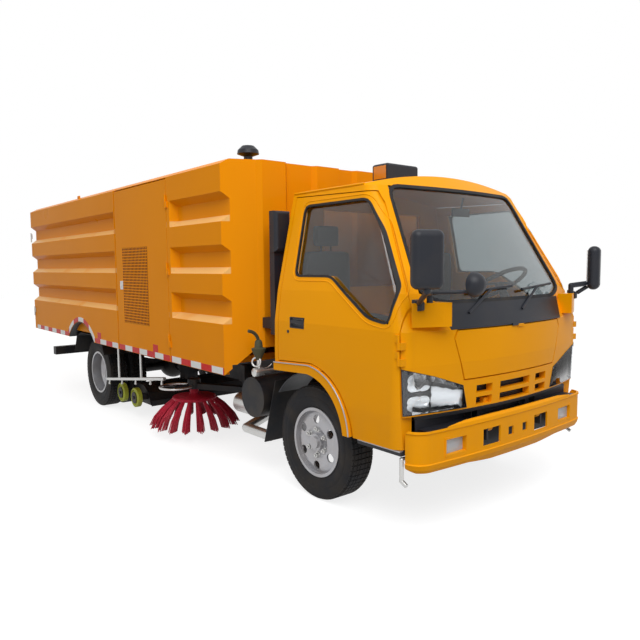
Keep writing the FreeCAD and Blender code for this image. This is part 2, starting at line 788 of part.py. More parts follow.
step_rear = 490.0
step_front = 846.0
step_tread_front = 750.0
step_inner = 640.0
step_outer = 840.0
step_wall = 12.0
step_low = 500.0
step_mid = 705.0


def step_well():
    """Right boarding steps behind the door: hung box with two treads."""
    far = -step_inner
    near = -step_outer
    back = box(step_rear, step_front - step_wall * 4, far, far - step_wall, step_low, floor_z - seat_gap)
    low = box(step_rear, step_front, far, -cab_half + step_wall * 2, step_low, step_low + step_wall * 1.6)
    mid = box(step_rear, step_tread_front, far, near, step_mid, step_mid + step_wall)
    cheek = box(step_rear, step_rear + step_wall, far, near, step_low, floor_z - seat_gap)
    return back.fuse([low, mid, cheek])


seat_rear = -200.0
seat_front = 290.0
seat_inner = 370.0
seat_outer = 765.0
seat_base_top = 1130.0
seat_top = 1250.0
back_top = 1680.0
back_depth = 110.0
seat_edge = 35.0
head_edge = 95.0
head_top = 1850.0


def seat():
    """Left seat: box base, cushion and upright back."""
    base = box(seat_rear, seat_front - seat_edge, seat_inner + seat_edge, seat_outer - seat_edge,
               floor_z + floor_wall + seat_gap, seat_base_top)
    cushion = box(seat_rear, seat_front, seat_inner, seat_outer, seat_base_top, seat_top)
    back = box(seat_rear - seat_edge, seat_rear - seat_edge + back_depth, seat_inner, seat_outer,
               seat_base_top, back_top)
    head = box(seat_rear - seat_edge, seat_rear - seat_edge + back_depth * 0.8, seat_inner + head_edge,
               seat_outer - head_edge,
               back_top, head_top)
    return cushion.fuse([back, head, base])


dash_y = 790.0
dash_shares = ((0.70, 0.0), (0.93, 0.0), (0.93, 0.62), (0.86, 1.0), (0.68, 0.94), (0.64, 0.60))
dash_low = 951.0
dash_top = 1290.0


def dashboard():
    """Dashboard across the cab, under the screen, with the steering column and wheel."""
    points = [(cab_nose * sx, dash_low + (dash_top - dash_low) * sz) for sx, sz in dash_shares]
    shape = prism_y(points, -dash_y, dash_y).common(cab_form(cab_wall + 2 * seat_gap))
    return shape


wheel_radius = 210.0
wheel_rim = 15.0
wheel_y = 560.0
wheel_x = 450.0
wheel_z = 1420.0
wheel_lean = 32.0


def steering_wheel():
    """Steering wheel on the left, on its slanted column."""
    centre = Vector(wheel_x, wheel_y, wheel_z)
    lean = math.radians(wheel_lean)
    axis = Vector(-math.sin(lean), 0, math.cos(lean))
    ring = Part.makeTorus(wheel_radius, wheel_rim, centre, axis)
    across = Vector(0, wheel_radius, 0)
    spoke = rod(centre - across, centre + across, wheel_rim * 0.7)
    foot = centre - axis * wheel_radius * 1.5
    column = pipe([centre, foot, foot + Vector(wheel_radius / 2, 0, 0)], wheel_rim * 2)
    return ring.fuse([spoke, column])


# Sweeper body

channel_tops = (2100.0, 1725.0, 1360.0)
channel_height = 212.0
eave_z = 2295.0
roof_shoulder = 60.0
roof_rise = 35.0
cavity_top = 2260.0
bulkhead = 50.0
hatch_half = 450.0
hatch_low = 1100.0
hatch_top = 2000.0
wall_under = 970.0
corner_y = 870.0
rib_shares = (0.785, 0.755, 0.565, 0.535, 0.318, 0.290, 0.090, 0.062)


def body_section():
    """Cross section of the body: upright sides and a low crowned roof."""
    top = eave_z + roof_rise
    side = body_half - roof_shoulder
    return [(-body_half, body_bottom), (-body_half, eave_z), (-side, top), (side, top),
            (body_half, eave_z), (body_half, body_bottom)]


def channel(x0, x1, end0, end1, top):
    """Pressed channel on the right flank; end0 and end1 are the bevels of its ends."""
    low = top - channel_height
    return Part.makeWedge(x0, -body_half, low, low + channel_bevel, x0 + end0,
                          x1, -body_half + channel_depth, top, top - channel_bevel, x1 - end1)


def channels(x0, x1, end0, end1):
    """The three channels of one length of flank, both sides."""
    cutters = [channel(x0, x1, end0, end1, top) for top in channel_tops]
    return cutters + [flip(cutter) for cutter in cutters]


def under_cut(x0, x1):
    """Space between the skirts."""
    inner = body_half - skirt_wall
    return box(x0, x1, -inner, inner, body_bottom - overrun, floor_plate_z)


def sills(x0, x1):
    """Two bearers under a floor, resting on the subframe."""
    left = box(x0, x1, rail_outer_y - rail_flange, rail_outer_y - rail_flange + sub_width, sub_top + seat_gap,
               floor_plate_z)
    return [left, flip(left)]


rear_arch_half = 420.0
rear_arch_rise = 195.0


def rear_arch():
    """Shallow arch over the rear wheels, cut through both skirts."""
    y0 = -body_half - overrun
    start = Vector(-wheelbase - rear_arch_half, y0, body_bottom)
    top = Vector(-wheelbase, y0, body_bottom + rear_arch_rise)
    end = Vector(-wheelbase + rear_arch_half, y0, body_bottom)
    arc = Part.Arc(start, top, end)
    base = Part.LineSegment(end, start)
    face = Part.Face(Part.Wire([arc.toShape(), base.toShape()]))
    cutter = face.extrude(Vector(0, skirt_wall + overrun * 1.5, 0))
    return cutter.fuse(flip(cutter))


hinge_x = -5100.0
hinge_z = 770.0
hinge_pin = 20.0
ear_y = 375.0
ear_wall = 25.0
ear_radius = 42.0
gate_gap = 6.0
gate_axis_z = 2346.0
gate_barrel = 14.0
gate_pin = 7.0
gate_barrel_y = 620.0
gate_barrel_length = 80.0
hopper_front_wall = 60.0


def hopper_rear():
    return body_rear + gate_depth


lift_x = -3900.0
lift_z = 800.0
fork_y = 35.0
fork_wall = 15.0


def hopper():
    """Tipping hopper: ribbed flanks, floor, front wall and roof, open behind."""
    rear = hopper_rear() + gate_gap
    shell = prism_x(body_section(), rear, hopper_front)
    inner = body_half - body_wall
    room = box(rear - overrun, hopper_front - hopper_front_wall, -inner, inner,
               floor_plate_z + floor_plate, cavity_top)
    shell = shell.cut(room).cut(under_cut(rear - overrun, hopper_front + overrun))
    shell = shell.cut(channels(rear - overrun, hopper_front - overrun * 0.5, 0, channel_bevel))
    shell = shell.cut(rear_arch())
    shell = shell.fuse(sills(hinge_x + ear_radius, hopper_front - hopper_front_wall))
    ear = box(hinge_x - ear_radius, hinge_x + ear_radius, ear_y, ear_y + ear_wall, hinge_z, floor_plate_z)
    ear = ear.fuse(rod(Vector(hinge_x, ear_y, hinge_z), Vector(hinge_x, ear_y + ear_wall, hinge_z),
                       ear_radius))
    ear = ear.cut(rod(Vector(hinge_x, ear_y - overrun, hinge_z),
                      Vector(hinge_x, ear_y + 2 * ear_wall, hinge_z),
                      hinge_pin + shaft_gap))
    fork = box(lift_x - ear_radius, lift_x + ear_radius, fork_y, fork_y + fork_wall, lift_z - ear_radius,
               floor_plate_z)
    fork = fork.cut(rod(Vector(lift_x, 0, lift_z), Vector(lift_x, 2 * fork_y, lift_z), hinge_pin))
    lug = rod(Vector(gate_axis_x(), gate_barrel_y, gate_axis_z),
              Vector(gate_axis_x(), gate_barrel_y + gate_barrel_length, gate_axis_z), gate_barrel)
    foot = box(gate_axis_x(), gate_axis_x() + 2 * gate_barrel, gate_barrel_y,
               gate_barrel_y + gate_barrel_length,
               eave_z + roof_rise, gate_axis_z)
    pin = rod(Vector(gate_axis_x(), gate_barrel_y, gate_axis_z),
              Vector(gate_axis_x(), gate_barrel_y + 2 * gate_barrel_length + gate_gap, gate_axis_z), gate_pin)
    extras = [ear, fork, lug, foot, pin]
    return shell.fuse(extras + [flip(piece) for piece in extras])


def gate_axis_x():
    return hopper_rear() + gate_gap / 2


foot_x = -2900.0
foot_z = 750.0
barrel_radius = 48.0
rod_radius = 30.0
barrel_share = 0.86
rod_tail = 780.0
eye_width = 25.0
gate_sill = 6.0


def tailgate():
    """Rear door with the flanks' channels running out through it, hung from its top edge."""
    section = [(y, min(z, eave_z + roof_rise - gate_sill)) for y, z in body_section()]
    shape = prism_x(section, body_rear, hopper_rear())
    shape = shape.cut(channels(body_rear - overrun, hopper_rear() + overrun, 0, 0))
    y0 = gate_barrel_y + gate_barrel_length + gate_gap / 2
    y1 = y0 + gate_barrel_length
    barrel = rod(Vector(gate_axis_x(), y0, gate_axis_z), Vector(gate_axis_x(), y1, gate_axis_z), gate_barrel)
    arm = box(body_rear + gate_barrel, gate_axis_x(), y0, y1, eave_z + roof_rise - gate_sill * 2,
              gate_axis_z + gate_barrel * 0.5)
    arm = arm.cut(box(hopper_rear(), 0, y0 - overrun, y1 + overrun, 0, eave_z + roof_rise + shaft_gap))
    hang = arm.fuse(barrel)
    hole = rod(Vector(gate_axis_x(), y0 - overrun, gate_axis_z),
               Vector(gate_axis_x(), y1 + overrun, gate_axis_z),
               gate_pin + shaft_gap)
    hang = hang.cut(hole)
    return shape.fuse([hang, flip(hang)])


def housing_plan():
    """Plan of the fixed housing: straight flanks, clipped corners and a ribbed front wall."""
    half = [(flank_front, body_half)]
    deep = housing_front
    proud = housing_front + rib_step
    xs = (deep, proud, proud, deep, deep, proud, proud, deep)
    half += [(x, body_half * share) for x, share in zip(xs, rib_shares)]
    other = [(x, -y) for x, y in reversed(half)]
    return [(bay_rear, body_half)] + half + other + [(bay_rear, -body_half)]


bay_door_wall = 60.0
bay_door_top = 2290.0


def housing():
    """Fixed front body: engine bay open at both sides, ribbed flanks and front wall, roof."""
    shell = prism_z(housing_plan(), body_bottom, eave_z + roof_rise)
    shell = shell.common(prism_x(body_section(), bay_rear, 0))
    inner = body_half - body_wall
    floor_top = floor_plate_z + floor_plate
    room = box(bay_front + bulkhead, housing_front - skirt_wall, -inner, inner, floor_top, cavity_top)
    corner = box(flank_front - overrun, 0, corner_y * 0.98, body_half, 0, body_top)
    room = room.cut([corner, flip(corner)])
    bay = box(bay_rear - overrun, bay_front, -body_half - overrun, body_half + overrun, floor_top, cavity_top)
    below = box(bay_rear - overrun, bay_front, -body_half - overrun, body_half + overrun, 0, floor_plate_z)
    hatch = box(bay_front - overrun, bay_front + bulkhead + overrun, -hatch_half, hatch_half, hatch_low,
                hatch_top)
    front = prism_x([(-body_half, body_bottom), (-corner_y, wall_under), (corner_y, wall_under),
                     (body_half, body_bottom),
                     (body_half, 0), (-body_half, 0)], flank_front - overrun, 0)
    shell = shell.cut([room, bay, below, hatch, under_cut(bay_front - overrun, 0), front])
    lip = body_half - bay_door_wall - door_gap
    for side in (1, -1):
        shell = shell.cut(box(bay_rear - overrun, bay_front, side * lip, side * (body_half + overrun), 0,
                              bay_door_top))
    shell = shell.cut(channels(bay_front + bulkhead, 0, channel_bevel, 0))
    post = box(bay_rear, bay_rear + bulkhead, lip - bulkhead, lip, floor_top, cavity_top)
    hinges = bay_hinges(1)
    return shell.fuse([post, flip(post)] + hinges + [flip(half) for half in hinges] + sills(bay_rear,
            flank_front - 2 * overrun))


vent_rear = -2545.0
vent_front = -1990.0
vent_low = 1050.0
vent_top = 1745.0
vent_rows = 17
vent_columns = 3
vent_share = 0.45
bay_pin_x = -1594.0
bay_pin_y = 1108.0
bay_barrel = 7.5
bay_pin = 3.5
bay_leaf = 30.0
bay_hinge_zs = (900.0, 1500.0, 2050.0)
bay_hinge_length = 50.0


def bay_hinges(side):
    """Right service door's hinge halves: side 1 stays on the housing with the pin, side -1 is the door's."""
    shapes = []
    for z in bay_hinge_zs:
        foot = Vector(bay_pin_x, -bay_pin_y, z)
        middle = foot + Vector(0, 0, bay_hinge_length)
        top = middle + Vector(0, 0, bay_hinge_length)
        low, high = (foot, middle - Vector(0, 0, seat_gap)) if side > 0 else (middle, top)
        leaf = box(bay_pin_x + side * door_gap, bay_pin_x + side * bay_leaf, -bay_pin_y - bay_pin,
                   -body_half + bay_pin, low.z, high.z)
        link = box(bay_pin_x, bay_pin_x + side * bay_leaf, -bay_pin_y - bay_pin, -bay_pin_y + bay_pin,
                   low.z, high.z)
        shapes += [rod(low, high, bay_barrel), leaf, link]
        if side > 0:
            shapes.append(rod(foot, top, bay_pin))
    return shapes


def service_door():
    """Right engine bay door with its punched vent panel."""
    shape = box(bay_rear + panel_gap, bay_front - panel_gap, -body_half, -body_half + bay_door_wall,
                body_bottom, bay_door_top - panel_gap)
    pocket = box(vent_rear, vent_front, -body_half + bay_door_wall * 0.2,
                 -body_half + bay_door_wall + overrun,
                 vent_low, vent_top)
    shape = shape.cut(pocket)
    pitch_z = (vent_top - vent_low) / vent_rows
    pitch_x = (vent_front - vent_rear) / vent_columns
    slots = []
    for row in range(vent_rows):
        z = vent_low + pitch_z * (row + (1 - vent_share) / 2)
        for column in range(vent_columns):
            x = vent_rear + pitch_x * (column + (1 - vent_share) / 6)
            slots.append(box(x, x + pitch_x * (1 - (1 - vent_share) / 3), -body_half - overrun,
                             -body_half + bay_door_wall,
                             z, z + pitch_z * vent_share))
    holes = [rod(Vector(bay_pin_x, -bay_pin_y, z), Vector(bay_pin_x, -bay_pin_y,
                                                          z + 2 * bay_hinge_length), bay_pin + seat_gap)
             for z in bay_hinge_zs]
    return shape.cut(slots).fuse(bay_hinges(-1)).cut(holes)


aux_rear = -2480.0
aux_front = -1800.0
aux_half = 420.0
aux_top = 1700.0


def aux_engine():
    """Sweeper's own engine in its bay, as one block."""
    return box(aux_rear, aux_front, -aux_half, aux_half, floor_plate_z + floor_plate + seat_gap, aux_top)


cap_x = -950.0
cap_y = -710.0
cap_shares = ((0.0, 0.0), (0.56, 0.0), (0.56, 0.08), (0.40, 0.14), (0.40, 0.50), (1.0, 0.62),
              (0.94, 0.80), (0.55, 1.0), (0.0, 1.0))
cap_radius = 85.0
cap_height = 160.0


def intake_cap():
    """Mushroom cap on the roof, over the sweeper engine's air intake."""
    centre = Vector(cap_x, cap_y, eave_z + roof_rise + seat_gap)
    return spin_z([(cap_radius * sr, cap_height * sz) for sr, sz in cap_shares], centre)


def subframe():
    """Two long beams on the rails, carrying the hopper's hinge pins and the cylinder's foot pin."""
    beam = box(hinge_x - hinge_pin * 1.5, flank_front - 2 * overrun, rail_outer_y - rail_flange,
               rail_outer_y - rail_flange + sub_width, rail_top + seat_gap, sub_top)
    pin = rod(Vector(hinge_x, rail_outer_y - rail_flange, hinge_z),
              Vector(hinge_x, ear_y + 2 * ear_wall, hinge_z), hinge_pin)
    foot = rod(Vector(foot_x, -rail_outer_y + rail_flange, foot_z),
               Vector(foot_x, rail_outer_y - rail_flange, foot_z), hinge_pin)
    return beam.fuse([pin, flip(beam), flip(pin), foot])


def lift_points():
    return Vector(foot_x, 0, foot_z), Vector(lift_x, 0, lift_z)


def tip_barrel():
    """Cylinder barrel with its foot eye, bored for the rod."""
    foot, head = lift_points()
    along = head - foot
    unit = along * (1 / along.Length)
    tube = rod(foot, foot + along * barrel_share, barrel_radius)
    bore_start = foot + unit * (along.Length - rod_tail - overrun)
    tube = tube.cut(rod(bore_start, foot + along, rod_radius + shaft_gap))
    side = Vector(0, eye_width, 0)
    eye = rod(foot - side, foot + side, barrel_radius)
    return tube.fuse(eye).cut(rod(foot - side * 3, foot + side * 3, hinge_pin + shaft_gap))


def tip_rod():
    """Cylinder rod with its eye between the hopper's fork plates."""
    foot, head = lift_points()
    unit = (head - foot) * (1 / (head - foot).Length)
    side = Vector(0, eye_width, 0)
    shape = rod(head - unit * rod_tail, head, rod_radius)
    return shape.fuse(rod(head - side, head + side, rod_radius * 1.2))


# Sweeping gear

broom_x = -2030.0
broom_y = 660.0
broom_tip_z = 90.0
broom_tip_radius = 425.0
plate_low = 330.0
plate_top = 360.0
plate_radius = 200.0
tuft_count = 26
tuft_root = 20.0
tuft_tip = 26.0
tuft_sides = 6
arm_x = -1550.0
arm_y = 405.0
arm_low = 430.0
arm_top = 480.0
arm_width = 70.0
arm_eye = 45.0
arm_pin = 22.0
motor_radius = 60.0
motor_top = 520.0
motor_pin = 20.0
ring_x = -2060.0
ring_y = 830.0
ring_z = 462.0
ring_radius = 145.0
ring_tube = 10.0


def ring_of(centre, axis, radius, sides, turn):
    """Polygon wire round a centre, across an axis."""
    first = axis.cross(Vector(0, 0, 1))
    first.normalize()
    second = axis.cross(first)
    second.normalize()
    points = []
    for index in range(sides):
        angle = 2 * math.pi * index / sides + turn
        points.append(centre + first * radius * math.cos(angle) + second * radius * math.sin(angle))
    return wire(points)


def broom():
    """Right side broom: backing plate on a hub, with flared tufts."""
    centre = Vector(broom_x, -broom_y, 0)
    up = Vector(0, 0, 1)
    plate = rod(centre + up * plate_low, centre + up * plate_top, plate_radius)
    hub = rod(centre + up * plate_top, centre + up * (arm_low - seat_gap), motor_pin * 2)
    shape = plate.fuse(hub)
    for index in range(tuft_count):
        angle = 2 * math.pi * index / tuft_count
        out = Vector(math.cos(angle), math.sin(angle), 0)
        root = centre + out * (plate_radius - tuft_root) + up * (plate_low + tuft_root * 0.5)
        tip = centre + out * (broom_tip_radius - tuft_tip) + up * (broom_tip_z + tuft_tip)
        axis = tip - root
        axis.normalize()
        tuft = Part.makeLoft([ring_of(root, axis, tuft_root, tuft_sides, 0),
                              ring_of(tip, axis, tuft_tip, tuft_sides, 0)], True, True)
        shape = shape.fuse(tuft)
    bore = rod(centre + up * plate_low, centre + up * arm_top, motor_pin + shaft_gap)
    return shape.cut(bore)


def broom_arm():
    """Right broom arm: pivot eye, bar, motor with its spindle, and a spoked guard ring."""
    pivot = Vector(arm_x, -arm_y, arm_low)
    head = Vector(broom_x, -broom_y, arm_low)
    up = Vector(0, 0, arm_top - arm_low)
    run = head - pivot
    across = Vector(-run.y, run.x, 0)
    across.normalize()
    bar = prism([pivot + across * arm_width / 2, head + across * arm_width / 2,
                 head - across * arm_width / 2, pivot - across * arm_width / 2], up)
    motor = rod(head, Vector(head.x, head.y, motor_top), motor_radius)
    spindle = rod(Vector(head.x, head.y, plate_low + tuft_root * 0.2), head, motor_pin)
    eye = rod(pivot, pivot + up, arm_eye)
    ring_centre = Vector(ring_x, -ring_y, ring_z)
    ring = Part.makeTorus(ring_radius, ring_tube, ring_centre)
    shape = bar.fuse([motor, spindle, eye, ring, rod(head + up * 0.6, ring_centre, ring_tube * 1.4)])
    for index in range(3):
        angle = 2 * math.pi * index / 3 + math.pi / 2
        rim = ring_centre + Vector(math.cos(angle), math.sin(angle), 0) * ring_radius
        shape = shape.fuse(rod(ring_centre, rim, ring_tube * 0.8))
    return shape.cut(rod(pivot - up, pivot + up * 2, arm_pin + shaft_gap))


def broom_pivot():
    """Right bracket on the rail with the broom arm's pin."""
    low = rail_top - rail_height
    block = box(arm_x - arm_eye, arm_x + arm_eye, -rail_outer_y - seat_gap, -arm_y - arm_eye * 0.6,
                low + arm_pin,
                rail_top - arm_pin)
    pin = rod(Vector(arm_x, -arm_y, arm_low - arm_pin * 0.5), Vector(arm_x, -arm_y, low + arm_pin * 2),
              arm_pin)
    keeper = rod(Vector(arm_x, -arm_y, arm_low - arm_pin), Vector(arm_x, -arm_y, arm_low - seat_gap),
                 arm_eye * 0.8)
    return block.fuse([pin, keeper])


nozzle_rear = -3330.0
nozzle_front = -2830.0
nozzle_half = 740.0
nozzle_low = 140.0
nozzle_top = 330.0
nozzle_wall = 14.0
nozzle_shares = ((0.0, 0.0), (1.0, 0.0), (0.90, 0.63), (0.66, 1.0), (0.34, 1.0), (0.10, 0.63))
duct_x = -3080.0
duct_y = -170.0
duct_radius = 108.0
duct_wall = 8.0
duct_low = 400.0
spigot_radius = duct_radius - duct_wall - shaft_gap
spigot_top = 560.0
caster_radius = 100.0
caster_width = 60.0
caster_z = 225.0
caster_y = 850.0
caster_xs = (-3290.0, -2930.0)
caster_pin = 15.0


def nozzle():
    """Suction nozzle, open below, with the spigot that slides in the duct and its wheel stubs."""
    outline = spread(nozzle_shares, nozzle_rear, nozzle_front, nozzle_low, nozzle_top)
    inner = spread(nozzle_shares, nozzle_rear + nozzle_wall, nozzle_front - nozzle_wall,
                   nozzle_low - nozzle_wall, nozzle_top - nozzle_wall)
    shape = prism_y(outline, -nozzle_half, nozzle_half)
    shape = shape.cut(prism_y(inner, -nozzle_half + nozzle_wall, nozzle_half - nozzle_wall))
    low = Vector(duct_x, duct_y, nozzle_top - nozzle_wall * 1.5)
    top = Vector(duct_x, duct_y, spigot_top)
    shape = shape.fuse(rod(low, top, spigot_radius)).cut(rod(low - Vector(0, 0, nozzle_wall), top,
                                                             spigot_radius - duct_wall))
    stubs = []
    for x in caster_xs:
        stub = rod(Vector(x, -nozzle_half + nozzle_wall * 0.5, caster_z),
                   Vector(x, -caster_y - caster_width * 0.6, caster_z), caster_pin)
        bracket = box(x - 2 * caster_pin, x + 2 * caster_pin, -nozzle_half,
                      -caster_y + caster_width * 0.5 + 2 * seat_gap + duct_wall,
                      caster_z - 2 * caster_pin, caster_z + 2 * caster_pin)
        stubs += [stub, bracket]
    return shape.fuse(stubs + [flip(stub) for stub in stubs])


def caster(x):
    """Small nozzle wheel, right side."""
    half = caster_width / 2
    inner = caster_pin + shaft_gap
    profile = [(-half * 0.9, inner), (-half * 0.9, caster_radius * 0.35), (-half * 0.5, caster_radius * 0.4),
               (-half * 0.6, caster_radius * 0.75), (-half, caster_radius * 0.8),
               (-half * 0.7, caster_radius),
               (half * 0.7, caster_radius), (half, caster_radius * 0.8), (half * 0.6, caster_radius * 0.75),
               (half * 0.5, caster_radius * 0.4), (half * 0.9, caster_radius * 0.35), (half * 0.9, inner)]
    return spin_y(profile, Vector(x, -caster_y, caster_z))


def suction_duct():
    """Duct from the nozzle's spigot up to the hopper floor."""
    low = Vector(duct_x, duct_y, duct_low)
    top = Vector(duct_x, duct_y, floor_plate_z - gate_gap)
    tube = rod(low, top, duct_radius).cut(rod(low, top, duct_radius - duct_wall))
    lug = box(duct_x - duct_radius * 0.3, duct_x + duct_radius * 0.3, duct_y - duct_radius * 0.94,
              -rail_outer_y + rail_flange + seat_gap, rail_top + duct_wall, sub_top - duct_wall)
    return tube.fuse(lug)


spray_y = 950.0
spray_rear = (-3450.0, 360.0)
spray_front = (-2040.0, 552.0)
spray_radius = 16.0
spray_hangers = (-3120.0, -2560.0)
spray_top = 740.0


def spray_bar():
    """Right spray bar, hung from the subframe."""
    (x0, z0), (x1, z1) = spray_rear, spray_front
    shape = rod(Vector(x0, -spray_y, z0), Vector(x1, -spray_y, z1), spray_radius)
    for x in spray_hangers:
        z = z0 + (z1 - z0) * (x - x0) / (x1 - x0)
        hanger = pipe([Vector(x, -spray_y, z), Vector(x, -spray_y, spray_top),
                       Vector(x, -rail_outer_y + rail_flange - sub_width - seat_gap, spray_top)],
                       spray_radius * 0.7)
        shape = shape.fuse(hanger)
    return shape


# Chassis fittings

tank_radius = 150.0
tank_x = -660.0
tank_z = 596.0
tank_outer = 900.0
tank_inner = 420.0
tank_bracket = 40.0


def air_tank():
    """Round tank across the right side, strapped to the rail."""
    body = rod(Vector(tank_x, -tank_outer, tank_z), Vector(tank_x, -tank_inner, tank_z), tank_radius)
    arm = box(tank_x - tank_bracket, tank_x + tank_bracket, -tank_inner - tank_bracket,
              -rail_outer_y - seat_gap,
              tank_z - tank_bracket, tank_z + tank_bracket)
    return body.fuse(arm)


fuel_rear = -1380.0
fuel_front = -760.0
fuel_low = 420.0
fuel_top = 745.0
fuel_inner = 430.0
fuel_outer = 890.0
fuel_round = 50.0


def fuel_tank():
    """Fuel tank on the left, on two arms from the rail."""
    body = box(fuel_rear, fuel_front, fuel_inner, fuel_outer, fuel_low, fuel_top)
    body = body.makeFillet(fuel_round, [edge for edge in body.Edges if abs(edge.tangentAt(0).x) > 0.9])
    for share in (0.25, 0.75):
        x = fuel_rear + (fuel_front - fuel_rear) * share
        body = body.fuse(box(x - tank_bracket, x + tank_bracket, rail_outer_y + seat_gap,
                             fuel_inner + tank_bracket,
                             tank_z - tank_bracket, tank_z + tank_bracket))
    return body


muffler_rear = -1390.0
muffler_front = -960.0
muffler_radius = 88.0
muffler_y = 540.0
muffler_z = 390.0
tail_radius = 38.0
tail_y = 800.0
tail_z = 300.0
tail_front = -575.0
tail_turn = -905.0


def exhaust():
    """Silencer under the right rail and its bright tail pipe."""
    body = rod(Vector(muffler_rear, -muffler_y, muffler_z), Vector(muffler_front, -muffler_y, muffler_z),
               muffler_radius)
    tail = pipe([Vector(muffler_front - tail_radius, -muffler_y, muffler_z),
                 Vector(tail_turn, -muffler_y, muffler_z),
                 Vector(tail_turn, -tail_y, tail_z), Vector(tail_front, -tail_y, tail_z)], tail_radius)
    x = (muffler_rear + muffler_front) / 2
    hanger = box(x - tail_radius, x + tail_radius, -muffler_y - tail_radius * 0.3,
                 -muffler_y + tail_radius * 0.3,
                 muffler_z, tank_z)
    arm = box(x - tail_radius, x + tail_radius, -muffler_y - tail_radius * 0.3, -rail_outer_y - seat_gap,
              tank_z - tail_radius, tank_z)
    return body.fuse([tail, hanger, arm])


flap_top = (-410.0, 750.0)
flap_low = (-560.0, 270.0)
flap_wall = 7.0
flap_inner = 610.0
flap_outer = 865.0


def mudflap():
    """Right flap behind the front wheel, on a rod from the rail."""
    (x0, z0), (x1, z1) = flap_top, flap_low
    sheet = prism_y([(x0, z0), (x1, z1), (x1 - flap_wall, z1), (x0 - flap_wall, z0)], -flap_outer,
                    -flap_inner)
    arm_z = z0 - 2 * tail_radius
    arm_at = x0 + (x1 - x0) * (z0 - arm_z) / (z0 - z1) - flap_wall / 2
    arm = rod(Vector(arm_at, -flap_inner - flap_wall * 2, arm_z),
              Vector(arm_at, -rail_outer_y - seat_gap, arm_z), flap_wall * 1.6)
    return sheet.fuse(arm)


guard_shares = ((-1.30, 1.52), (-1.05, 2.02), (-0.70, 2.14), (0.66, 2.14), (0.98, 2.04), (1.16, 1.66))
guard_wall = 6.0
guard_inner = 500.0
guard_outer = 1015.0


def rear_guard():
    """Right mudguard over the rear twin tyres, on two rods from the rail."""
    points = [(-wheelbase + tyre_radius * sx, tyre_radius * sz) for sx, sz in guard_shares]
    under = [(x, z - guard_wall) for x, z in points]
    sheet = prism_y(points + under[::-1], -guard_outer, -guard_inner)
    arms = []
    for index in (0, 5):
        x, z = points[index]
        lift = guard_wall * 6
        shift = guard_wall * (2 if index == 0 else -2)
        arms.append(rod(Vector(x + shift * 0.2, -guard_inner - guard_wall * 2, z + lift * 0.2),
                        Vector(x + shift * 0.2, -rail_outer_y - seat_gap, z + lift * 0.2),
                        guard_wall * 2))
    return sheet.fuse(arms)


rear_bar = (-5205.0, -5105.0, 455.0, 555.0)
rear_bar_half = 1000.0
lamp_half = 110.0
lamp_y = 840.0
lamp_thick = 30.0


def rear_bumper():
    """Square rear bar on two drops from the rails."""
    x0, x1, z0, z1 = rear_bar
    bar = box(x0, x1, -rear_bar_half, rear_bar_half, z0, z1)
    drop = box(x0, frame_rear - seat_gap, rail_outer_y - rail_flange, rail_outer_y, z1 - guard_wall,
               rail_top - rail_flange)
    return bar.fuse([drop, flip(drop)])


def rear_lamps():
    x0, x1, z0, z1 = rear_bar
    lamp = box(x0 - lamp_thick, x0 - seat_gap, lamp_y - lamp_half, lamp_y + lamp_half, z0 + guard_wall,
               z1 - guard_wall)
    return pair(lamp)


bumper_levels = ((388.0, 26.0), (428.0, 6.0), (456.0, 0.0), (461.0, 5.0), (628.0, 5.0), (634.0, 0.0),
                 (654.0, 3.0), (668.0, 14.0))
bumper_half = 890.0
bumper_bow = 8000.0
bumper_corner = 110.0
bumper_wall = 12.0
bumper_flange = 30.0
bumper_rear = 857.0
bumper_rise = (955.0, 430.0)
bumper_tilt_gap = 6.0
fog_y = 585.0
fog_z = 534.0
fog_half = (84.0, 44.0)
fog_pocket = (925.0, 975.0)
fog_lens = (935.0, 955.0)
hole_y = 268.0
hole_half = (82.0, 52.0)
tow_y = 76.0
tow_half = (27.0, 27.0)
bumper_bracket_z = (574.0, 624.0)


def bumper_form(inset):
    """Closed form of the bumper: tucked under at the foot, a lip along its top."""
    wires = [plan_wire(z, bumper_nose - draw, bumper_half - draw, inset, bumper_bow, bumper_corner)
             for z, draw in bumper_levels]
    return Part.makeLoft(wires, True, True)


def front_hole(y, half, z, gap):
    """Hole through the bumper, both sides, drawn in by gap."""
    across, up = half
    hole = box(bumper_rear, bumper_nose + overrun, y - across + gap, y + across - gap, z - up + gap,
               z + up - gap)
    return [hole, flip(hole)]


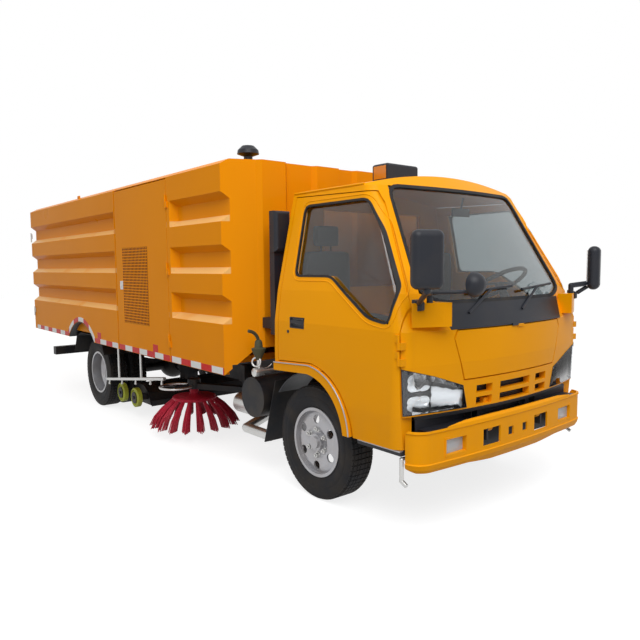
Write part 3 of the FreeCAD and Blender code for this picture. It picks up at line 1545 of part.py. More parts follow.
def front_bumper():
    """Bumper shell wrapped round to the doors, with lamp pockets, step and towing holes, on brackets to the rails."""
    low, top = bumper_levels[0][0], bumper_levels[-1][0]
    shell = bumper_form(0).cut(bumper_form(bumper_wall))
    flange = bumper_nose - bumper_flange
    shell = shell.cut(box(cab_rear, flange, -body_half, body_half, top - 2 * bumper_wall, top + overrun))
    shell = shell.cut(box(cab_rear, flange, -body_half, body_half, low - overrun, low + overrun))
    shell = shell.cut(box(cab_rear, bumper_rear, -body_half, body_half, 0, cab_top))
    rise_x, rise_z = bumper_rise
    shell = shell.cut(prism_y([(0, 0), (0, rise_z), (bumper_rear, rise_z), (rise_x, low), (rise_x, 0)],
                              -body_half, body_half))
    swing = tilt_x_pin - door_front - bumper_tilt_gap
    swept = box(cab_rear, tilt_x_pin, -body_half, body_half, tilt_z, cab_top)
    shell = shell.cut(swept.cut(rod(Vector(tilt_x_pin, -body_half, tilt_z),
                                    Vector(tilt_x_pin, body_half, tilt_z), swing)))
    (across, up), (near, far) = fog_half, fog_pocket
    pocket = box(near, far, fog_y - across - bumper_wall, fog_y + across + bumper_wall,
                 fog_z - up - bumper_wall, fog_z + up + bumper_wall)
    bracket = box(frame_front + seat_gap, bumper_nose - bumper_wall * 1.2, rail_outer_y - tilt_arm_width,
                  rail_outer_y,
                  bumper_bracket_z[0], bumper_bracket_z[1])
    shell = shell.fuse([pocket, flip(pocket), bracket, flip(bracket)])
    holes = front_hole(fog_y, fog_half, fog_z, 0) + front_hole(hole_y, hole_half, fog_z,
                                                               0) + front_hole(tow_y, tow_half, fog_z, 0)
    return shell.cut(holes)


jet_radius = 13.0
jet_y = 885.0
jet_x = 832.0
jet_z = (476.0, 352.0, 332.0)
jet_reach = 36.0
jet_root_y = 318.0


def front_jet():
    """Left water pipe from the rail out to the bumper's corner, bent down and forward to its nozzle."""
    top, low, tip = jet_z
    points = [Vector(jet_x, jet_root_y, rail_top - rail_height - seat_gap), Vector(jet_x, jet_root_y, top),
              Vector(jet_x, jet_y, top), Vector(jet_x, jet_y, low), Vector(jet_x + jet_reach, jet_y, tip)]
    flange = rod(points[0] - Vector(0, 0, guard_wall), points[0], jet_radius * 2)
    runs = [rod(start, end, jet_radius) for start, end in zip(points, points[1:])]
    balls = [Part.makeSphere(jet_radius * 1.1, point) for point in points[1:-1]]
    return runs[0].fuse(runs[1:] + balls + [flange])


def fog_lamps():
    across, up = fog_half
    return pair(box(fog_lens[0], fog_lens[1], fog_y - across + seat_gap, fog_y + across - seat_gap,
                    fog_z - up + seat_gap, fog_z + up - seat_gap))


def tilt_brackets():
    """Plates on the rail ends with the cab's tilt pins, fused to the frame."""
    plate_y = tilt_arm_y + tilt_arm_width + gate_gap
    plate = box(frame_front - tilt_arm_width, tilt_x_pin + tilt_eye, plate_y, plate_y + tilt_pin,
                rail_top - rail_height, tilt_z + tilt_eye * 1.5)
    pin = rod(Vector(tilt_x_pin, tilt_arm_y - gate_gap, tilt_z), Vector(tilt_x_pin, plate_y, tilt_z),
              tilt_pin)
    return [plate, pin, flip(plate), flip(pin)]


cab_mount = (-318.0, -262.0)


def cab_mounts():
    """Posts on the rails that carry the back of the cab."""
    x0, x1 = cab_mount
    return pair(box(x0, x1, rail_outer_y - rail_flange, rail_outer_y - seat_gap, rail_top + seat_gap,
                    floor_z - seat_gap))


# Mirrors, intake and roof gear

mirror_centre = (1062.0, 945.0, 1592.0)
far_mirror_centre = (985.0, 940.0, 1531.0)
mirror_size = (82.0, 178.0, 306.0)
mirror_round = 38.0
mirror_turn = 24.0
cover_x = (880.0, 985.0)
cover_y = (645.0, 860.0)
cover_z = (1222.0, 1356.0)
cover_shares = ((0.0, 0.0), (1.0, 0.0), (0.86, 0.20), (0.06, 1.0), (0.0, 1.0))
mirror_arm = 18.0
round_mirror = (1085.0, 590.0, 1455.0)
round_mirror_radius = 70.0


def mirror_cover():
    """Left bracket cover on the cab's front corner."""
    points = spread(cover_shares, cover_x[0], cover_x[1], cover_y[0], cover_y[1])
    return prism_z(points, cover_z[0], cover_z[1]).cut(cab_form(cab_wall / 2))


def mirror(centre):
    """Left mirror: housing on an arm that comes up out of its bracket cover."""
    x, y, z = centre
    depth, width, height = mirror_size
    head = box(-depth / 2, depth / 2, -width / 2, width / 2, -height / 2, height / 2)
    head = head.makeFillet(mirror_round, head.Edges)
    head.rotate(Vector(0, 0, 0), Vector(0, 0, 1), mirror_turn)
    head.translate(Vector(x, y, z))
    root = Vector(cover_x[1] * 0.93, (cover_y[0] + cover_y[1]) / 2, cover_z[1] + seat_gap)
    bend = Vector(root.x, root.y, cover_z[1] + mirror_arm * 3)
    elbow = Vector(x, y, cover_z[1] + mirror_arm * 4)
    arm = pipe([root, bend, elbow, Vector(x, y, z - height / 2 + mirror_round)], mirror_arm)
    low = Vector(root.x, cover_y[1] - mirror_arm, cover_z[1] + seat_gap)
    return head.fuse([arm, rod(low, elbow, mirror_arm * 0.8)])


def round_mirror_piece():
    """Round wide-angle mirror on the right arm."""
    x, y, z = round_mirror
    root = Vector(cover_x[1] * 0.93, -(cover_y[0] + cover_y[1]) / 2, cover_z[1] + mirror_arm * 3)
    dish = Part.makeSphere(round_mirror_radius, Vector(x, -y, z))
    dish = dish.common(box(x, x + round_mirror_radius, -y - round_mirror_radius, -y + round_mirror_radius,
                           z - round_mirror_radius, z + round_mirror_radius))
    return dish.fuse(pipe([root, Vector(x + mirror_arm, -y, z - round_mirror_radius * 0.5)],
                          mirror_arm * 0.6))


def mirrors():
    right = flip(mirror(mirror_centre)).fuse(round_mirror_piece())
    return Part.makeCompound([mirror(far_mirror_centre), right])


snorkel_x = (-455.0, -360.0)
snorkel_y = (-880.0, -745.0)
snorkel_z = (1665.0, 1950.0)
snorkel_duct = (-868.0, -770.0)
snorkel_foot = 1080.0


def snorkel():
    """Air intake behind the cab: louvred head, tall duct and a foot back to the housing wall."""
    head = box(snorkel_x[0], snorkel_x[1], snorkel_y[0], snorkel_y[1], snorkel_z[0], snorkel_z[1])
    head = head.makeFillet(tail_radius * 0.7, [edge for edge in head.Edges if abs(edge.tangentAt(0).x) < 0.1])
    duct = box(snorkel_x[0], snorkel_x[1] - tail_radius, snorkel_duct[0], snorkel_duct[1], snorkel_foot,
               snorkel_z[0] + tail_radius)
    wall_x = housing_front + rib_step
    arm = box(wall_x + seat_gap, snorkel_x[0] + tail_radius, snorkel_duct[0] + tail_radius * 0.5,
              snorkel_duct[1],
              snorkel_foot + tail_radius, snorkel_foot + 3 * tail_radius)
    return head.fuse([duct, arm])


light_x = (-140.0, 10.0)
light_half = 160.0
light_height = 145.0


def light_bar():
    """Low warning light bar on the cab roof."""
    top = cab_top + light_height
    bar = box(light_x[0], light_x[1], -light_half, light_half, cab_top * 0.985, top)
    bar = bar.makeFillet(tail_radius * 0.5,
                         [edge for edge in bar.Edges if edge.CenterOfMass.z > top - seat_gap])
    grown = cab_form(0).common(crown(-seat_gap))
    return bar.cut(grown)


wiper_shares = ((0.10, -0.02, 0.62, 0.03), (-0.45, -0.02, 0.05, 0.03))
wiper_radius = 8.0


def screen_point(y, z, proud):
    """Point on the screen's face, a little proud of it."""
    low, high = screen_low_z, screen_top_z
    if z < low:
        low, high = belt_z, screen_low_z
        first, last = nose_shares[3], nose_shares[4]
    else:
        first, last = nose_shares[4], nose_shares[5]
    share = (z - low) / (high - low)
    nose = cab_nose * (first + (last - first) * share)
    return Vector(nose - cab_front_radius + math.sqrt(cab_front_radius ** 2 - y * y) + proud, y, z)


def wipers():
    """Two wiper blades lying along the foot of the screen, each on its arm."""
    pieces = []
    for y0, z0, y1, z1 in wiper_shares:
        low = belt_z + (strip_top - belt_z) * 0.6
        foot = screen_point(cab_half * y0, low, glass)
        knee = screen_point(cab_half * (y0 + y1) / 2, screen_low_z + wiper_radius, wiper_radius * 3)
        ends = [screen_point(cab_half * (y0 + 0.05), screen_low_z, wiper_radius * 2.4),
                screen_point(cab_half * y1, screen_low_z + wiper_radius * 3, wiper_radius * 2.4)]
        pieces.append(rod(ends[0], ends[1], wiper_radius).fuse(pipe([foot, knee], wiper_radius)))
    return Part.makeCompound(pieces)


def group(*shapes):
    """Several pieces of one node, as solids that do not touch."""
    return Part.makeCompound([solid for shape in shapes for solid in shape.Solids])


def pieces():
    """Every node of the truck, by name."""
    left_rim = front_rim(front_left)
    left_twin = rear_rims(rear_left)
    front_tyre = tyre(front_left)
    twin_tyres = group(*[tyre(centre) for centre in twin_left])
    left_knuckle = knuckle()
    right_door = door()
    right_pane = door_pane()
    right_handle = door_handle()
    right_service = service_door()
    right_arm = broom_arm()
    right_broom = broom()
    pivot = broom_pivot()
    yield "frame", frame().fuse(tilt_brackets())
    yield "brackets", group(cab_mounts(), pair(pivot))
    yield "engines", group(engine(), aux_engine())
    yield "front_axle", group(front_axle(), front_springs())
    yield "rear_axle", group(rear_axle().fuse(drive_shaft()), rear_springs())
    yield "knuckle_left", left_knuckle
    yield "knuckle_right", flip(left_knuckle)
    yield "front_tyre_left", front_tyre
    yield "front_rim_left", left_rim
    yield "front_tyre_right", flip(front_tyre)
    yield "front_rim_right", flip(left_rim)
    yield "rear_tyres_left", twin_tyres
    yield "rear_rims_left", left_twin
    yield "rear_tyres_right", flip(twin_tyres)
    yield "rear_rims_right", flip(left_twin)
    yield "front_bumper", front_bumper()
    yield "fog_lamps", fog_lamps()
    yield "front_jets", pair(front_jet())
    yield "mudguards", group(pair(mudflap()), pair(rear_guard()))
    yield "rear_bumper", rear_bumper()
    yield "rear_lamps", rear_lamps()
    yield "tanks", group(air_tank(), fuel_tank())
    yield "exhaust", exhaust()
    yield "air_snorkel", snorkel()
    yield "cab_shell", cab_shell()
    yield "cab_glass", windscreen()
    yield "cowl_strip", group(cowl_strip(), wipers())
    yield "headlamps", headlamps()
    yield "front_lid", front_lid()
    yield "arch_flares", pair(arch_flare())
    yield "steps_liners", group(pair(step_well()), pair(arch_liner()))
    yield "seats", pair(seat())
    yield "dashboard", dashboard().fuse(steering_wheel())
    yield "mirrors", mirrors()
    yield "light_bar", light_bar()
    yield "door_right", group(right_door)
    yield "door_left", group(flip(right_door))
    yield "door_glass_right", group(right_pane, right_handle)
    yield "door_glass_left", group(flip(right_pane), flip(right_handle))
    yield "subframe", subframe()
    yield "housing", housing()
    yield "intake_cap", intake_cap()
    yield "service_door_right", right_service
    yield "service_door_left", flip(right_service)
    yield "hopper", hopper()
    yield "tailgate", tailgate()
    yield "tip_barrel", tip_barrel()
    yield "tip_rod", tip_rod()
    yield "broom_arm_right", right_arm
    yield "broom_arm_left", flip(right_arm)
    yield "broom_right", right_broom
    yield "broom_left", flip(right_broom)
    yield "suction_duct", suction_duct()
    yield "nozzle", nozzle()
    yield "nozzle_wheels_rear", pair(caster(caster_xs[0]))
    yield "nozzle_wheels_front", pair(caster(caster_xs[1]))
    yield "spray_bars", pair(spray_bar())


for name, shape in pieces():
    export(name, shape)
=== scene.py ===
# %% [markdown]
# # A light sweeping truck
#
# The truck's solids come packed from the CAD. This file dresses them for a picture: it
# gives every piece its paint, rubber, glass or steel, and adds what is too fine for the
# solids, such as tread blocks, bristles, lamp reflectors, seals and reflective tape.
# Everything is in metres: x runs forward, y to the truck's left and z up from the road.

import json
import math

import bmesh
import bpy
from mathutils import Matrix, Vector


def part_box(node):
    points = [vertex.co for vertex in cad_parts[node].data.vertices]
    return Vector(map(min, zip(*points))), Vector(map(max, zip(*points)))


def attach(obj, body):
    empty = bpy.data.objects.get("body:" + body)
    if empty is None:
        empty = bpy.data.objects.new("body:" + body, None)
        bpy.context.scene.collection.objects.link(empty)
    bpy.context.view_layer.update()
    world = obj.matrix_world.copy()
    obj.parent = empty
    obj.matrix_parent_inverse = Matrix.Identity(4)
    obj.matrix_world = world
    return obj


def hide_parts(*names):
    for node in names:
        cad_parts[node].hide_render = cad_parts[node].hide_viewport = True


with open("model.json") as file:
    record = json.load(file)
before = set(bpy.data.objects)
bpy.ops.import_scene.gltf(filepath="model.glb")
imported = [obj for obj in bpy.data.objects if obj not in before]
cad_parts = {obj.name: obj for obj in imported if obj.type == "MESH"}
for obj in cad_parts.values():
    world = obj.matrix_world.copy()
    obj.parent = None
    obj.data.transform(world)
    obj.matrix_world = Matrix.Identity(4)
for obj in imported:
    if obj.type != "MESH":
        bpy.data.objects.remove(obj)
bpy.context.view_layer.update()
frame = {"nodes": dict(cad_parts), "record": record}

# %% [markdown]
# Places on a truck are easiest to read from its front axle, as a body builder's drawing
# gives them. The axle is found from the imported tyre, so nothing here needs fitting.

# %% Find the front axle
tyre_low, tyre_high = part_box("front_tyre_left")
axle_x = (tyre_low[0] + tyre_high[0]) / 2
axle_z = (tyre_low[2] + tyre_high[2]) / 2


def at(x, y, z):
    """A place given from the front axle's middle and the road."""
    return Vector((axle_x + x, y, z))


print("front axle stands at x", round(axle_x, 4), "and z", round(axle_z, 4))

# %% [markdown]
# The photograph was taken a little in front of the truck's right front corner, at about
# eye level for someone standing a few steps away. A camera is a place, three turns and a
# lens. The turns are built one after another, because that is how a person would aim it:
# swing round, tip down, then level the horizon.

# %% Place the camera
eye = at(3.172, -3.387, 1.567)
swing, tip, roll = math.radians(140.65), math.radians(-5.03), math.radians(-0.55)
forward = Vector((math.cos(tip) * math.cos(swing), math.cos(tip) * math.sin(swing), math.sin(tip)))
aim = forward.to_track_quat("-Z", "Y")
bpy.ops.object.camera_add(location=eye)
camera = bpy.context.object
camera.name = "street_camera"
camera.rotation_mode = "QUATERNION"
camera.rotation_quaternion = aim @ Matrix.Rotation(roll, 4, "Z").to_quaternion()
camera.data.sensor_width = 36.0
camera.data.lens = 34.85
camera.data.clip_end = 200.0
bpy.context.scene.camera = camera
print("camera", round((eye - at(0.0, 0.0, 1.2)).length, 2), "m from the cab")

# %% [markdown]
# The ground is one large pale plane, and the light is a broad soft sky with one gentle
# lamp high on the camera's side, as on a bright hazy day. Painted steel mirrors what is
# round it, so the world's light fades from a brighter top to a duller horizon; a flat
# world would leave the panels looking like plastic.

# %% Lay the floor and hang the light
bpy.context.scene.view_settings.view_transform = "Standard"
bpy.ops.object.select_all(action="DESELECT")
bpy.ops.mesh.primitive_plane_add(size=60.0, location=(0.0, 0.0, -0.002))
floor = bpy.context.object
floor.name = "pale_floor"

# %% [markdown]
# A finish is a small recipe of shader nodes. Wiring each node by hand hides the recipe,
# so one class stands for a value on its way through the nodes and lets the recipe be
# written as sums, and a second one stands for the finish itself.

# %% Write shader sums as plain sums
class Strand:
    """A number on its way through a finish's nodes."""

    def __init__(self, tree, socket):
        self.tree, self.socket = tree, socket

    def reckon(self, operation, other=None, swapped=False):
        node = self.tree.nodes.new("ShaderNodeMath")
        node.operation = operation
        first, second = (other, self) if swapped else (self, other)
        for spot, value in zip(node.inputs, (first, second)):
            if isinstance(value, Strand):
                self.tree.links.new(value.socket, spot)
            elif value is not None:
                spot.default_value = value
        return Strand(self.tree, node.outputs[0])

    def __add__(self, other):
        return self.reckon("ADD", other)

    def __radd__(self, other):
        return self.reckon("ADD", other)

    def __sub__(self, other):
        return self.reckon("SUBTRACT", other)

    def __rsub__(self, other):
        return self.reckon("SUBTRACT", other, swapped=True)

    def __mul__(self, other):
        return self.reckon("MULTIPLY", other)

    def __rmul__(self, other):
        return self.reckon("MULTIPLY", other)

    def __truediv__(self, other):
        return self.reckon("DIVIDE", other)

    def __gt__(self, other):
        return self.reckon("GREATER_THAN", other)

    def part(self):
        """What is left after the whole number: a value that climbs and drops back."""
        return self.reckon("FRACT")

    def size(self):
        return self.reckon("ABSOLUTE")


# %% One finish and its nodes
class Finish:
    """A surface and the nodes that vary it over the piece."""

    def __init__(self, name, color, roughness, **sockets):
        self.material = bpy.data.materials.new(name)
        self.material.use_nodes = True
        self.tree = self.material.node_tree
        self.surface = self.tree.nodes["Principled BSDF"]
        self.color = (*color, 1.0)
        self.put("Base Color", self.color)
        self.put("Roughness", roughness)
        for socket, value in sockets.items():
            self.put(socket.replace("_", " ").title().replace("Ior", "IOR"), value)

    def put(self, socket, value):
        spot = self.surface.inputs[socket]
        if isinstance(value, Strand):
            self.tree.links.new(value.socket, spot)
        else:
            spot.default_value = value

    def node(self, kind, settings=None, output=0, **values):
        """Add any node: its settings first, then its sockets by name."""
        node = self.tree.nodes.new(kind)
        for name, value in (settings or {}).items():
            setattr(node, name, value)
        for name, value in values.items():
            numbered = name[0] == "n" and name[1:].isdigit()
            spot = node.inputs[int(name[1:]) if numbered else name.replace("_", " ")]
            if isinstance(value, Strand):
                self.tree.links.new(value.socket, spot)
            else:
                spot.default_value = value
        return Strand(self.tree, node.outputs[output])

    def along(self, axis):
        """How far a point lies along x, y or z, from the truck's origin."""
        place = self.node("ShaderNodeTexCoord", output=3)
        return self.node("ShaderNodeSeparateXYZ", output="xyz".index(axis), Vector=place)

    def noise(self, scale, detail=3.0, stretch=(1.0, 1.0, 1.0)):
        place = self.node("ShaderNodeTexCoord", output=3)
        place = self.node("ShaderNodeMapping", Vector=place, Scale=stretch)
        return self.node("ShaderNodeTexNoise", Vector=place, Scale=scale, Detail=detail)

    def climb(self, value, low, high):
        """0 below low, 1 above high, and a straight climb between them."""
        return self.node("ShaderNodeMapRange", Value=value, From_Min=low, From_Max=high)

    def blend(self, share, first, second):
        """A colour between two, by share."""
        return self.node("ShaderNodeMix", {"data_type": "RGBA"}, output=2, n0=share, n6=first, n7=second)

    def tint(self, share, color):
        """Lay a second colour over what the surface has, by share."""
        links = self.surface.inputs["Base Color"].links
        under = Strand(self.tree, links[0].from_socket) if links else self.color
        self.put("Base Color", self.blend(share, under, (*color, 1.0)))

    def bump(self, height, strength, distance):
        self.put("Normal", self.node("ShaderNodeBump", Height=height, Strength=strength, Distance=distance))


print("finish helpers ready")

# %% [markdown]
# The world is a soft gradient. What the camera sees behind the truck is plain white, as in
# the photograph, and so is what the glass lets through and what polished metal mirrors.

# %% Sky and lamp
world = bpy.data.worlds.new("hazy_sky")
bpy.context.scene.world = world
world.use_nodes = True
sky = world.node_tree
backdrop = sky.nodes["Background"]


def sky_node(kind, settings=None, **links):
    """A node of the sky's, its settings and the sockets that feed its inputs by number."""
    node = sky.nodes.new(kind)
    for name, value in (settings or {}).items():
        setattr(node, name, value)
    for spot, socket in links.items():
        sky.links.new(socket, node.inputs[int(spot[1:])])
    return node


haze = sky_node("ShaderNodeBackground")
haze.inputs["Color"].default_value = (1.0, 1.0, 1.0, 1.0)
ray = sky_node("ShaderNodeLightPath").outputs
clamped_sum = {"operation": "ADD", "use_clamp": True}
seen = sky_node("ShaderNodeMath", clamped_sum, n0=ray["Is Camera Ray"], n1=ray["Is Transmission Ray"])
seen = sky_node("ShaderNodeMath", clamped_sum, n0=seen.outputs[0], n1=ray["Is Glossy Ray"])
choose = sky_node("ShaderNodeMixShader", n0=seen.outputs[0], n1=backdrop.outputs[0], n2=haze.outputs[0])
sky.links.new(choose.outputs[0], sky.nodes["World Output"].inputs["Surface"])
split = sky_node("ShaderNodeSeparateXYZ", n0=sky_node("ShaderNodeTexCoord").outputs["Generated"])
fade = sky_node("ShaderNodeValToRGB", n0=split.outputs["Z"])
ramp = fade.color_ramp.elements
for stop, place, color in ((ramp[0], 0.0, (0.16, 0.17, 0.18, 1.0)), (ramp[1], 0.7, (0.98, 0.99, 1.0, 1.0))):
    stop.position, stop.color = place, color
sky.links.new(fade.outputs[0], backdrop.inputs["Color"])
backdrop.inputs["Strength"].default_value = 0.80

bpy.ops.object.light_add(type="AREA", location=at(5.2, -4.4, 8.6))
lamp = bpy.context.object
lamp.name = "soft_lamp"
lamp.data.size = 7.0
lamp.data.energy = 700.0
lamp.rotation_euler = (at(-1.0, 0.0, 1.0) - lamp.location).to_track_quat("-Z", "Y").to_euler()
print("sky strength", backdrop.inputs["Strength"].default_value, "lamp", lamp.data.energy, "W")

# %% [markdown]
# The pale floor is a rough surface that shows white to the camera, so that the truck
# stands on its own shadow with nothing round it.

# %% Floor finish
ground = Finish("pale_ground", (0.34, 0.34, 0.34), 0.9, specular_ior_level=0.0)
watched = sum((ground.node("ShaderNodeLightPath", output=kind) for kind in (0, 3, 6)), 0.0)
ground.put("Emission Color", ground.blend(watched, (0.0, 0.0, 0.0, 1.0), (0.80, 0.80, 0.80, 1.0)))
ground.put("Emission Strength", 1.0)
ground.bump(ground.noise(40.0), 0.05, 0.002)
floor.data.materials.append(ground.material)

# %% [markdown]
# Two paints cover most of the truck. Both are gloss enamel under a thin clear coat: the
# cab's is a warm yellow, the box's is a touch more orange. Real panels are never perfectly
# flat, so a slow bump bends their reflections, and road dust has settled near the bottom.
# The paint could be one flat colour, but then large panels would look like cut card.

# %% The two gloss paints
road_dust, paint_dust = (0.24, 0.17, 0.09), 0.10


def gloss_paint(name, color, shade, shine, coat):
    """Enamel with faint colour drift, bent reflections and dust that thins out upwards."""
    paint = Finish(name, color, 0.30, coat_weight=coat, coat_roughness=0.06, specular_ior_level=shine)
    paint.tint(paint.climb(paint.noise(0.9), 0.42, 0.68) * 0.45, shade)
    low = 1 - paint.climb(paint.along("z"), 0.35, 1.15)
    paint.tint(low * paint.climb(paint.noise(5.0, 6.0), 0.35, 0.75) * paint_dust, road_dust)
    paint.put("Roughness", 0.24 + paint.noise(3.0) * 0.12 + low * 0.15)
    paint.bump(paint.noise(1.6, 1.0) + paint.noise(140.0, 1.0) * 0.015, 0.25, 0.012)
    return paint


cab_yellow = gloss_paint("cab_yellow", (0.93, 0.365, 0.002), (0.87, 0.325, 0.001), 0.05, 0.03)
body_orange = gloss_paint("body_orange", (0.90, 0.300, 0.003), (0.83, 0.262, 0.002), 0.012, 0.05)
print("paints", cab_yellow.material.name, body_orange.material.name)

# %% [markdown]
# A pale painted highlight lies on the up-facing slopes of the box's ribs, where they face
# the sky, and it draws a bright line under each hollow. The slopes stand at three known
# heights, between the hollow's wall and the flank's face, so four thresholds find them in the finish.

# %% Painted highlight on the ribs' ledges
ledge_lows, ledge_rise, hollow_y, flank_y = (1.149, 1.514, 1.889), 0.046, 1.0415, 1.0985
ledge_highlight_color, ledge_highlight_share = (0.92, 0.56, 0.21), 0.85
height, aside = body_orange.along("z"), body_orange.along("y").size()
ledge = sum(((height > low) * (1 - (height > low + ledge_rise)) for low in ledge_lows), 0.0)
sloping = (aside > hollow_y) * (1 - (aside > flank_y))
patchy = body_orange.climb(body_orange.noise(3.0), 0.10, 0.45)
# Painted highlight: the up-facing slopes turn pale in patches, as if lit by the sky.
body_orange.tint(ledge * sloping * patchy * ledge_highlight_share, ledge_highlight_color)
# Print the heights where the ledges' painted highlight starts.
print("dusty ledges from", ledge_lows, "m up")

# %% [markdown]
# Under the truck everything is satin black with a veil of dry mud, the tyres are matt
# rubber with faint patches of dust, and the wheels are silver lacquer with patches of brown
# grime.

# %% Chassis, rubber and wheel finishes
def dusty(name, color, roughness, dust, grain=60.0, **sockets):
    """A dark matt surface with a fine grain and a patchy film of dust."""
    finish = Finish(name, color, roughness, **sockets)
    finish.tint(finish.climb(finish.noise(7.0, 6.0), 0.40, 0.72) * dust, road_dust)
    finish.bump(finish.noise(grain, 2.0), 0.25, 0.002)
    return finish


chassis_black = dusty("chassis_black", (0.010, 0.010, 0.013), 0.50, 0.10, specular_ior_level=0.25)
engine_grey = dusty("engine_grey", (0.10, 0.10, 0.11), 0.6, 0.25, 30.0, metallic=0.4)
tyre_rubber = dusty("tyre_rubber", (0.014, 0.014, 0.016), 0.75, 0.08, 90.0, specular_ior_level=0.25)
black_rubber = dusty("black_rubber", (0.010, 0.011, 0.014), 0.62, 0.08, specular_ior_level=0.25)
black_plastic = dusty("black_plastic", (0.014, 0.016, 0.023), 0.42, 0.03, 400.0, specular_ior_level=0.3)
dark_trim = dusty("dark_trim", (0.055, 0.055, 0.060), 0.7, 0.0, 300.0)
rim_silver = dusty("rim_silver", (0.42, 0.42, 0.44), 0.34, 0.22, 25.0, metallic=0.55)
bright_steel = dusty("bright_steel", (0.56, 0.56, 0.55), 0.32, 0.12, 80.0, metallic=0.85)
lime_rubber = dusty("lime_rubber", (0.46, 0.50, 0.035), 0.55, 0.25)
print("dark and bright finishes ready")

# %% [markdown]
# Glass is a thin tinted sheet that lets the cab's dark inside show and mirrors the sky.
# Lamp covers are clear plastic, and the lenses keep their red or amber in the plastic.

# %% Glass and lamp plastics
def clear(name, color, tinted=1.0, roughness=0.02):
    """Glass or plastic that light passes, wholly or in part."""
    return Finish(name, color, roughness, transmission_weight=tinted, ior=1.46, specular_ior_level=0.55)


cab_tint = clear("glass", (0.44, 0.48, 0.49))
lamp_clear = clear("lamp_cover", (0.93, 0.95, 0.97), 1.0, 0.03)
lamp_lens = clear("lamp_lens", (0.80, 0.83, 0.86), 0.55, 0.12)
lamp_lens.bump(lamp_lens.noise(70.0, 1.0, (1.0, 2.0, 0.4)), 0.4, 0.004)
red_lens = clear("red_lens", (0.62, 0.012, 0.010), 0.3, 0.12)
amber_lens = clear("amber_lens", (0.90, 0.33, 0.02), 0.3, 0.15)
amber_lens.bump(amber_lens.along("y") * 90.0, 0.2, 0.004)
reflector = Finish("bright_reflector", (0.94, 0.95, 0.96), 0.30, metallic=0.6)
reflector.bump((reflector.along("y") * 70.0).part() + (reflector.along("z") * 45.0).part(), 0.6, 0.003)
mirror_face = Finish("mirror_face", (0.90, 0.91, 0.92), 0.02, metallic=1.0)
print("glass and lamps ready")

# %% [markdown]
# The bristles are coloured plastic that has faded and picked up dirt, so the tips are
# duller than the roots. The seats are woven cloth, and two waves across each other make
# its threads: cheaper than a cloth of real threads, which nobody would see in the cab.

# %% Bristle and cloth finishes
red_bristle = Finish("red_bristle", (0.50, 0.014, 0.042), 0.45, specular_ior_level=0.2)
red_bristle.tint(red_bristle.climb(red_bristle.along("z"), 0.26, 0.10) * 0.35, (0.22, 0.05, 0.05))
red_bristle.tint(red_bristle.climb(red_bristle.noise(60.0), 0.45, 0.6) * 0.35, (0.72, 0.06, 0.10))
seat_cloth = Finish("seat_cloth", (0.075, 0.078, 0.090), 0.92, sheen_weight=0.3)
thread = 260.0
weave = (seat_cloth.along("y") * thread).part()
weave = weave * (seat_cloth.along("z") * thread + seat_cloth.along("x") * thread).part()
seat_cloth.tint(weave * 0.6, (0.16, 0.165, 0.19))
seat_cloth.bump(weave, 0.5, 0.0015)
print("threads a metre", round(thread))

# %% [markdown]
# A solid from the CAD keeps its mesh and only gets its finish. Most of the truck is done
# this way, because its shapes are already right; the pieces further down replace or
# cover the ones that are too plain.

# %% Give every solid its finish
finish_of_slot = {
    "cab_yellow": cab_yellow, "body_orange": body_orange, "chassis_black": chassis_black,
    "engine_grey": engine_grey, "tyre_rubber": tyre_rubber, "rim_silver": rim_silver,
    "black_rubber": black_rubber, "lamp_lens": lamp_lens, "red_lens": red_lens, "bright_steel": bright_steel,
    "black_plastic": black_plastic, "glass": cab_tint, "seat_cloth": seat_cloth, "dark_trim": dark_trim,
    "amber_lens": amber_lens, "red_bristle": red_bristle, "lime_rubber": lime_rubber,
}
slot_of_node = {part["node"]: part["material_slot"] for part in frame["record"]["subparts"]}


def repaint(node, finish):
    """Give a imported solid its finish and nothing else."""
    for place in frame["nodes"][node].material_slots:
        place.material = finish.material


for node in frame["nodes"]:
    repaint(node, finish_of_slot[slot_of_node[node]])
print(len(frame["nodes"]), "solids in", len(set(slot_of_node.values())), "finishes")

# %% [markdown]
# New pieces are made the way a modeller works by hand: a primitive is set down at its
# place, shaped in edit mode and finished with modifiers. These few helpers only save
# repeating the same selecting and applying; each leaves its piece at the origin, with its
# place in its mesh.

# %% Bench helpers
def clear_bench():
    """Deselect everything, so that the next step works on its own piece."""
    if bpy.context.mode != "OBJECT":
        bpy.ops.object.mode_set(mode="OBJECT")
    bpy.ops.object.select_all(action="DESELECT")


def settle(piece, name):
    """Name a new primitive and move its place and size into its mesh."""
    piece.name = piece.data.name = name
    bpy.ops.object.transform_apply(location=True, rotation=True, scale=True)
    return piece


def block(name, low, high):
    """A box between two corners."""
    clear_bench()
    low, high = Vector(low), Vector(high)
    bpy.ops.mesh.primitive_cube_add(size=1.0, location=(low + high) / 2)
    bpy.context.object.scale = [abs(side) for side in high - low]
    return settle(bpy.context.object, name)


def drum(name, start, end, radius, sides=24):
    """A round bar between two places."""
    clear_bench()
    run = Vector(end) - Vector(start)
    bpy.ops.mesh.primitive_cylinder_add(vertices=sides, radius=radius, depth=run.length,
                                        location=(Vector(start) + Vector(end)) / 2,
                                        rotation=run.to_track_quat("Z", "Y").to_euler())
    return settle(bpy.context.object, name)


def outline(name, points):
    """A closed loop through the points, without a face."""
    clear_bench()
    bpy.ops.mesh.primitive_circle_add(vertices=len(points), radius=1.0)
    loop = settle(bpy.context.object, name)
    for corner, point in zip(loop.data.vertices, points):
        corner.co = point
    return loop


def edit(piece, wanted=None):
    """Open a piece in edit mode with the faces chosen by centre and normal selected."""
    clear_bench()
    bpy.context.view_layer.objects.active = piece
    piece.select_set(True)
    bpy.ops.object.mode_set(mode="EDIT")
    bpy.ops.mesh.select_mode(type="FACE")
    bpy.ops.mesh.select_all(action="DESELECT" if wanted else "SELECT")
    if wanted:
        inside = bmesh.from_edit_mesh(piece.data)
        for face in inside.faces:
            face.select_set(bool(wanted(face.calc_center_median(), face.normal)))
        bmesh.update_edit_mesh(piece.data)


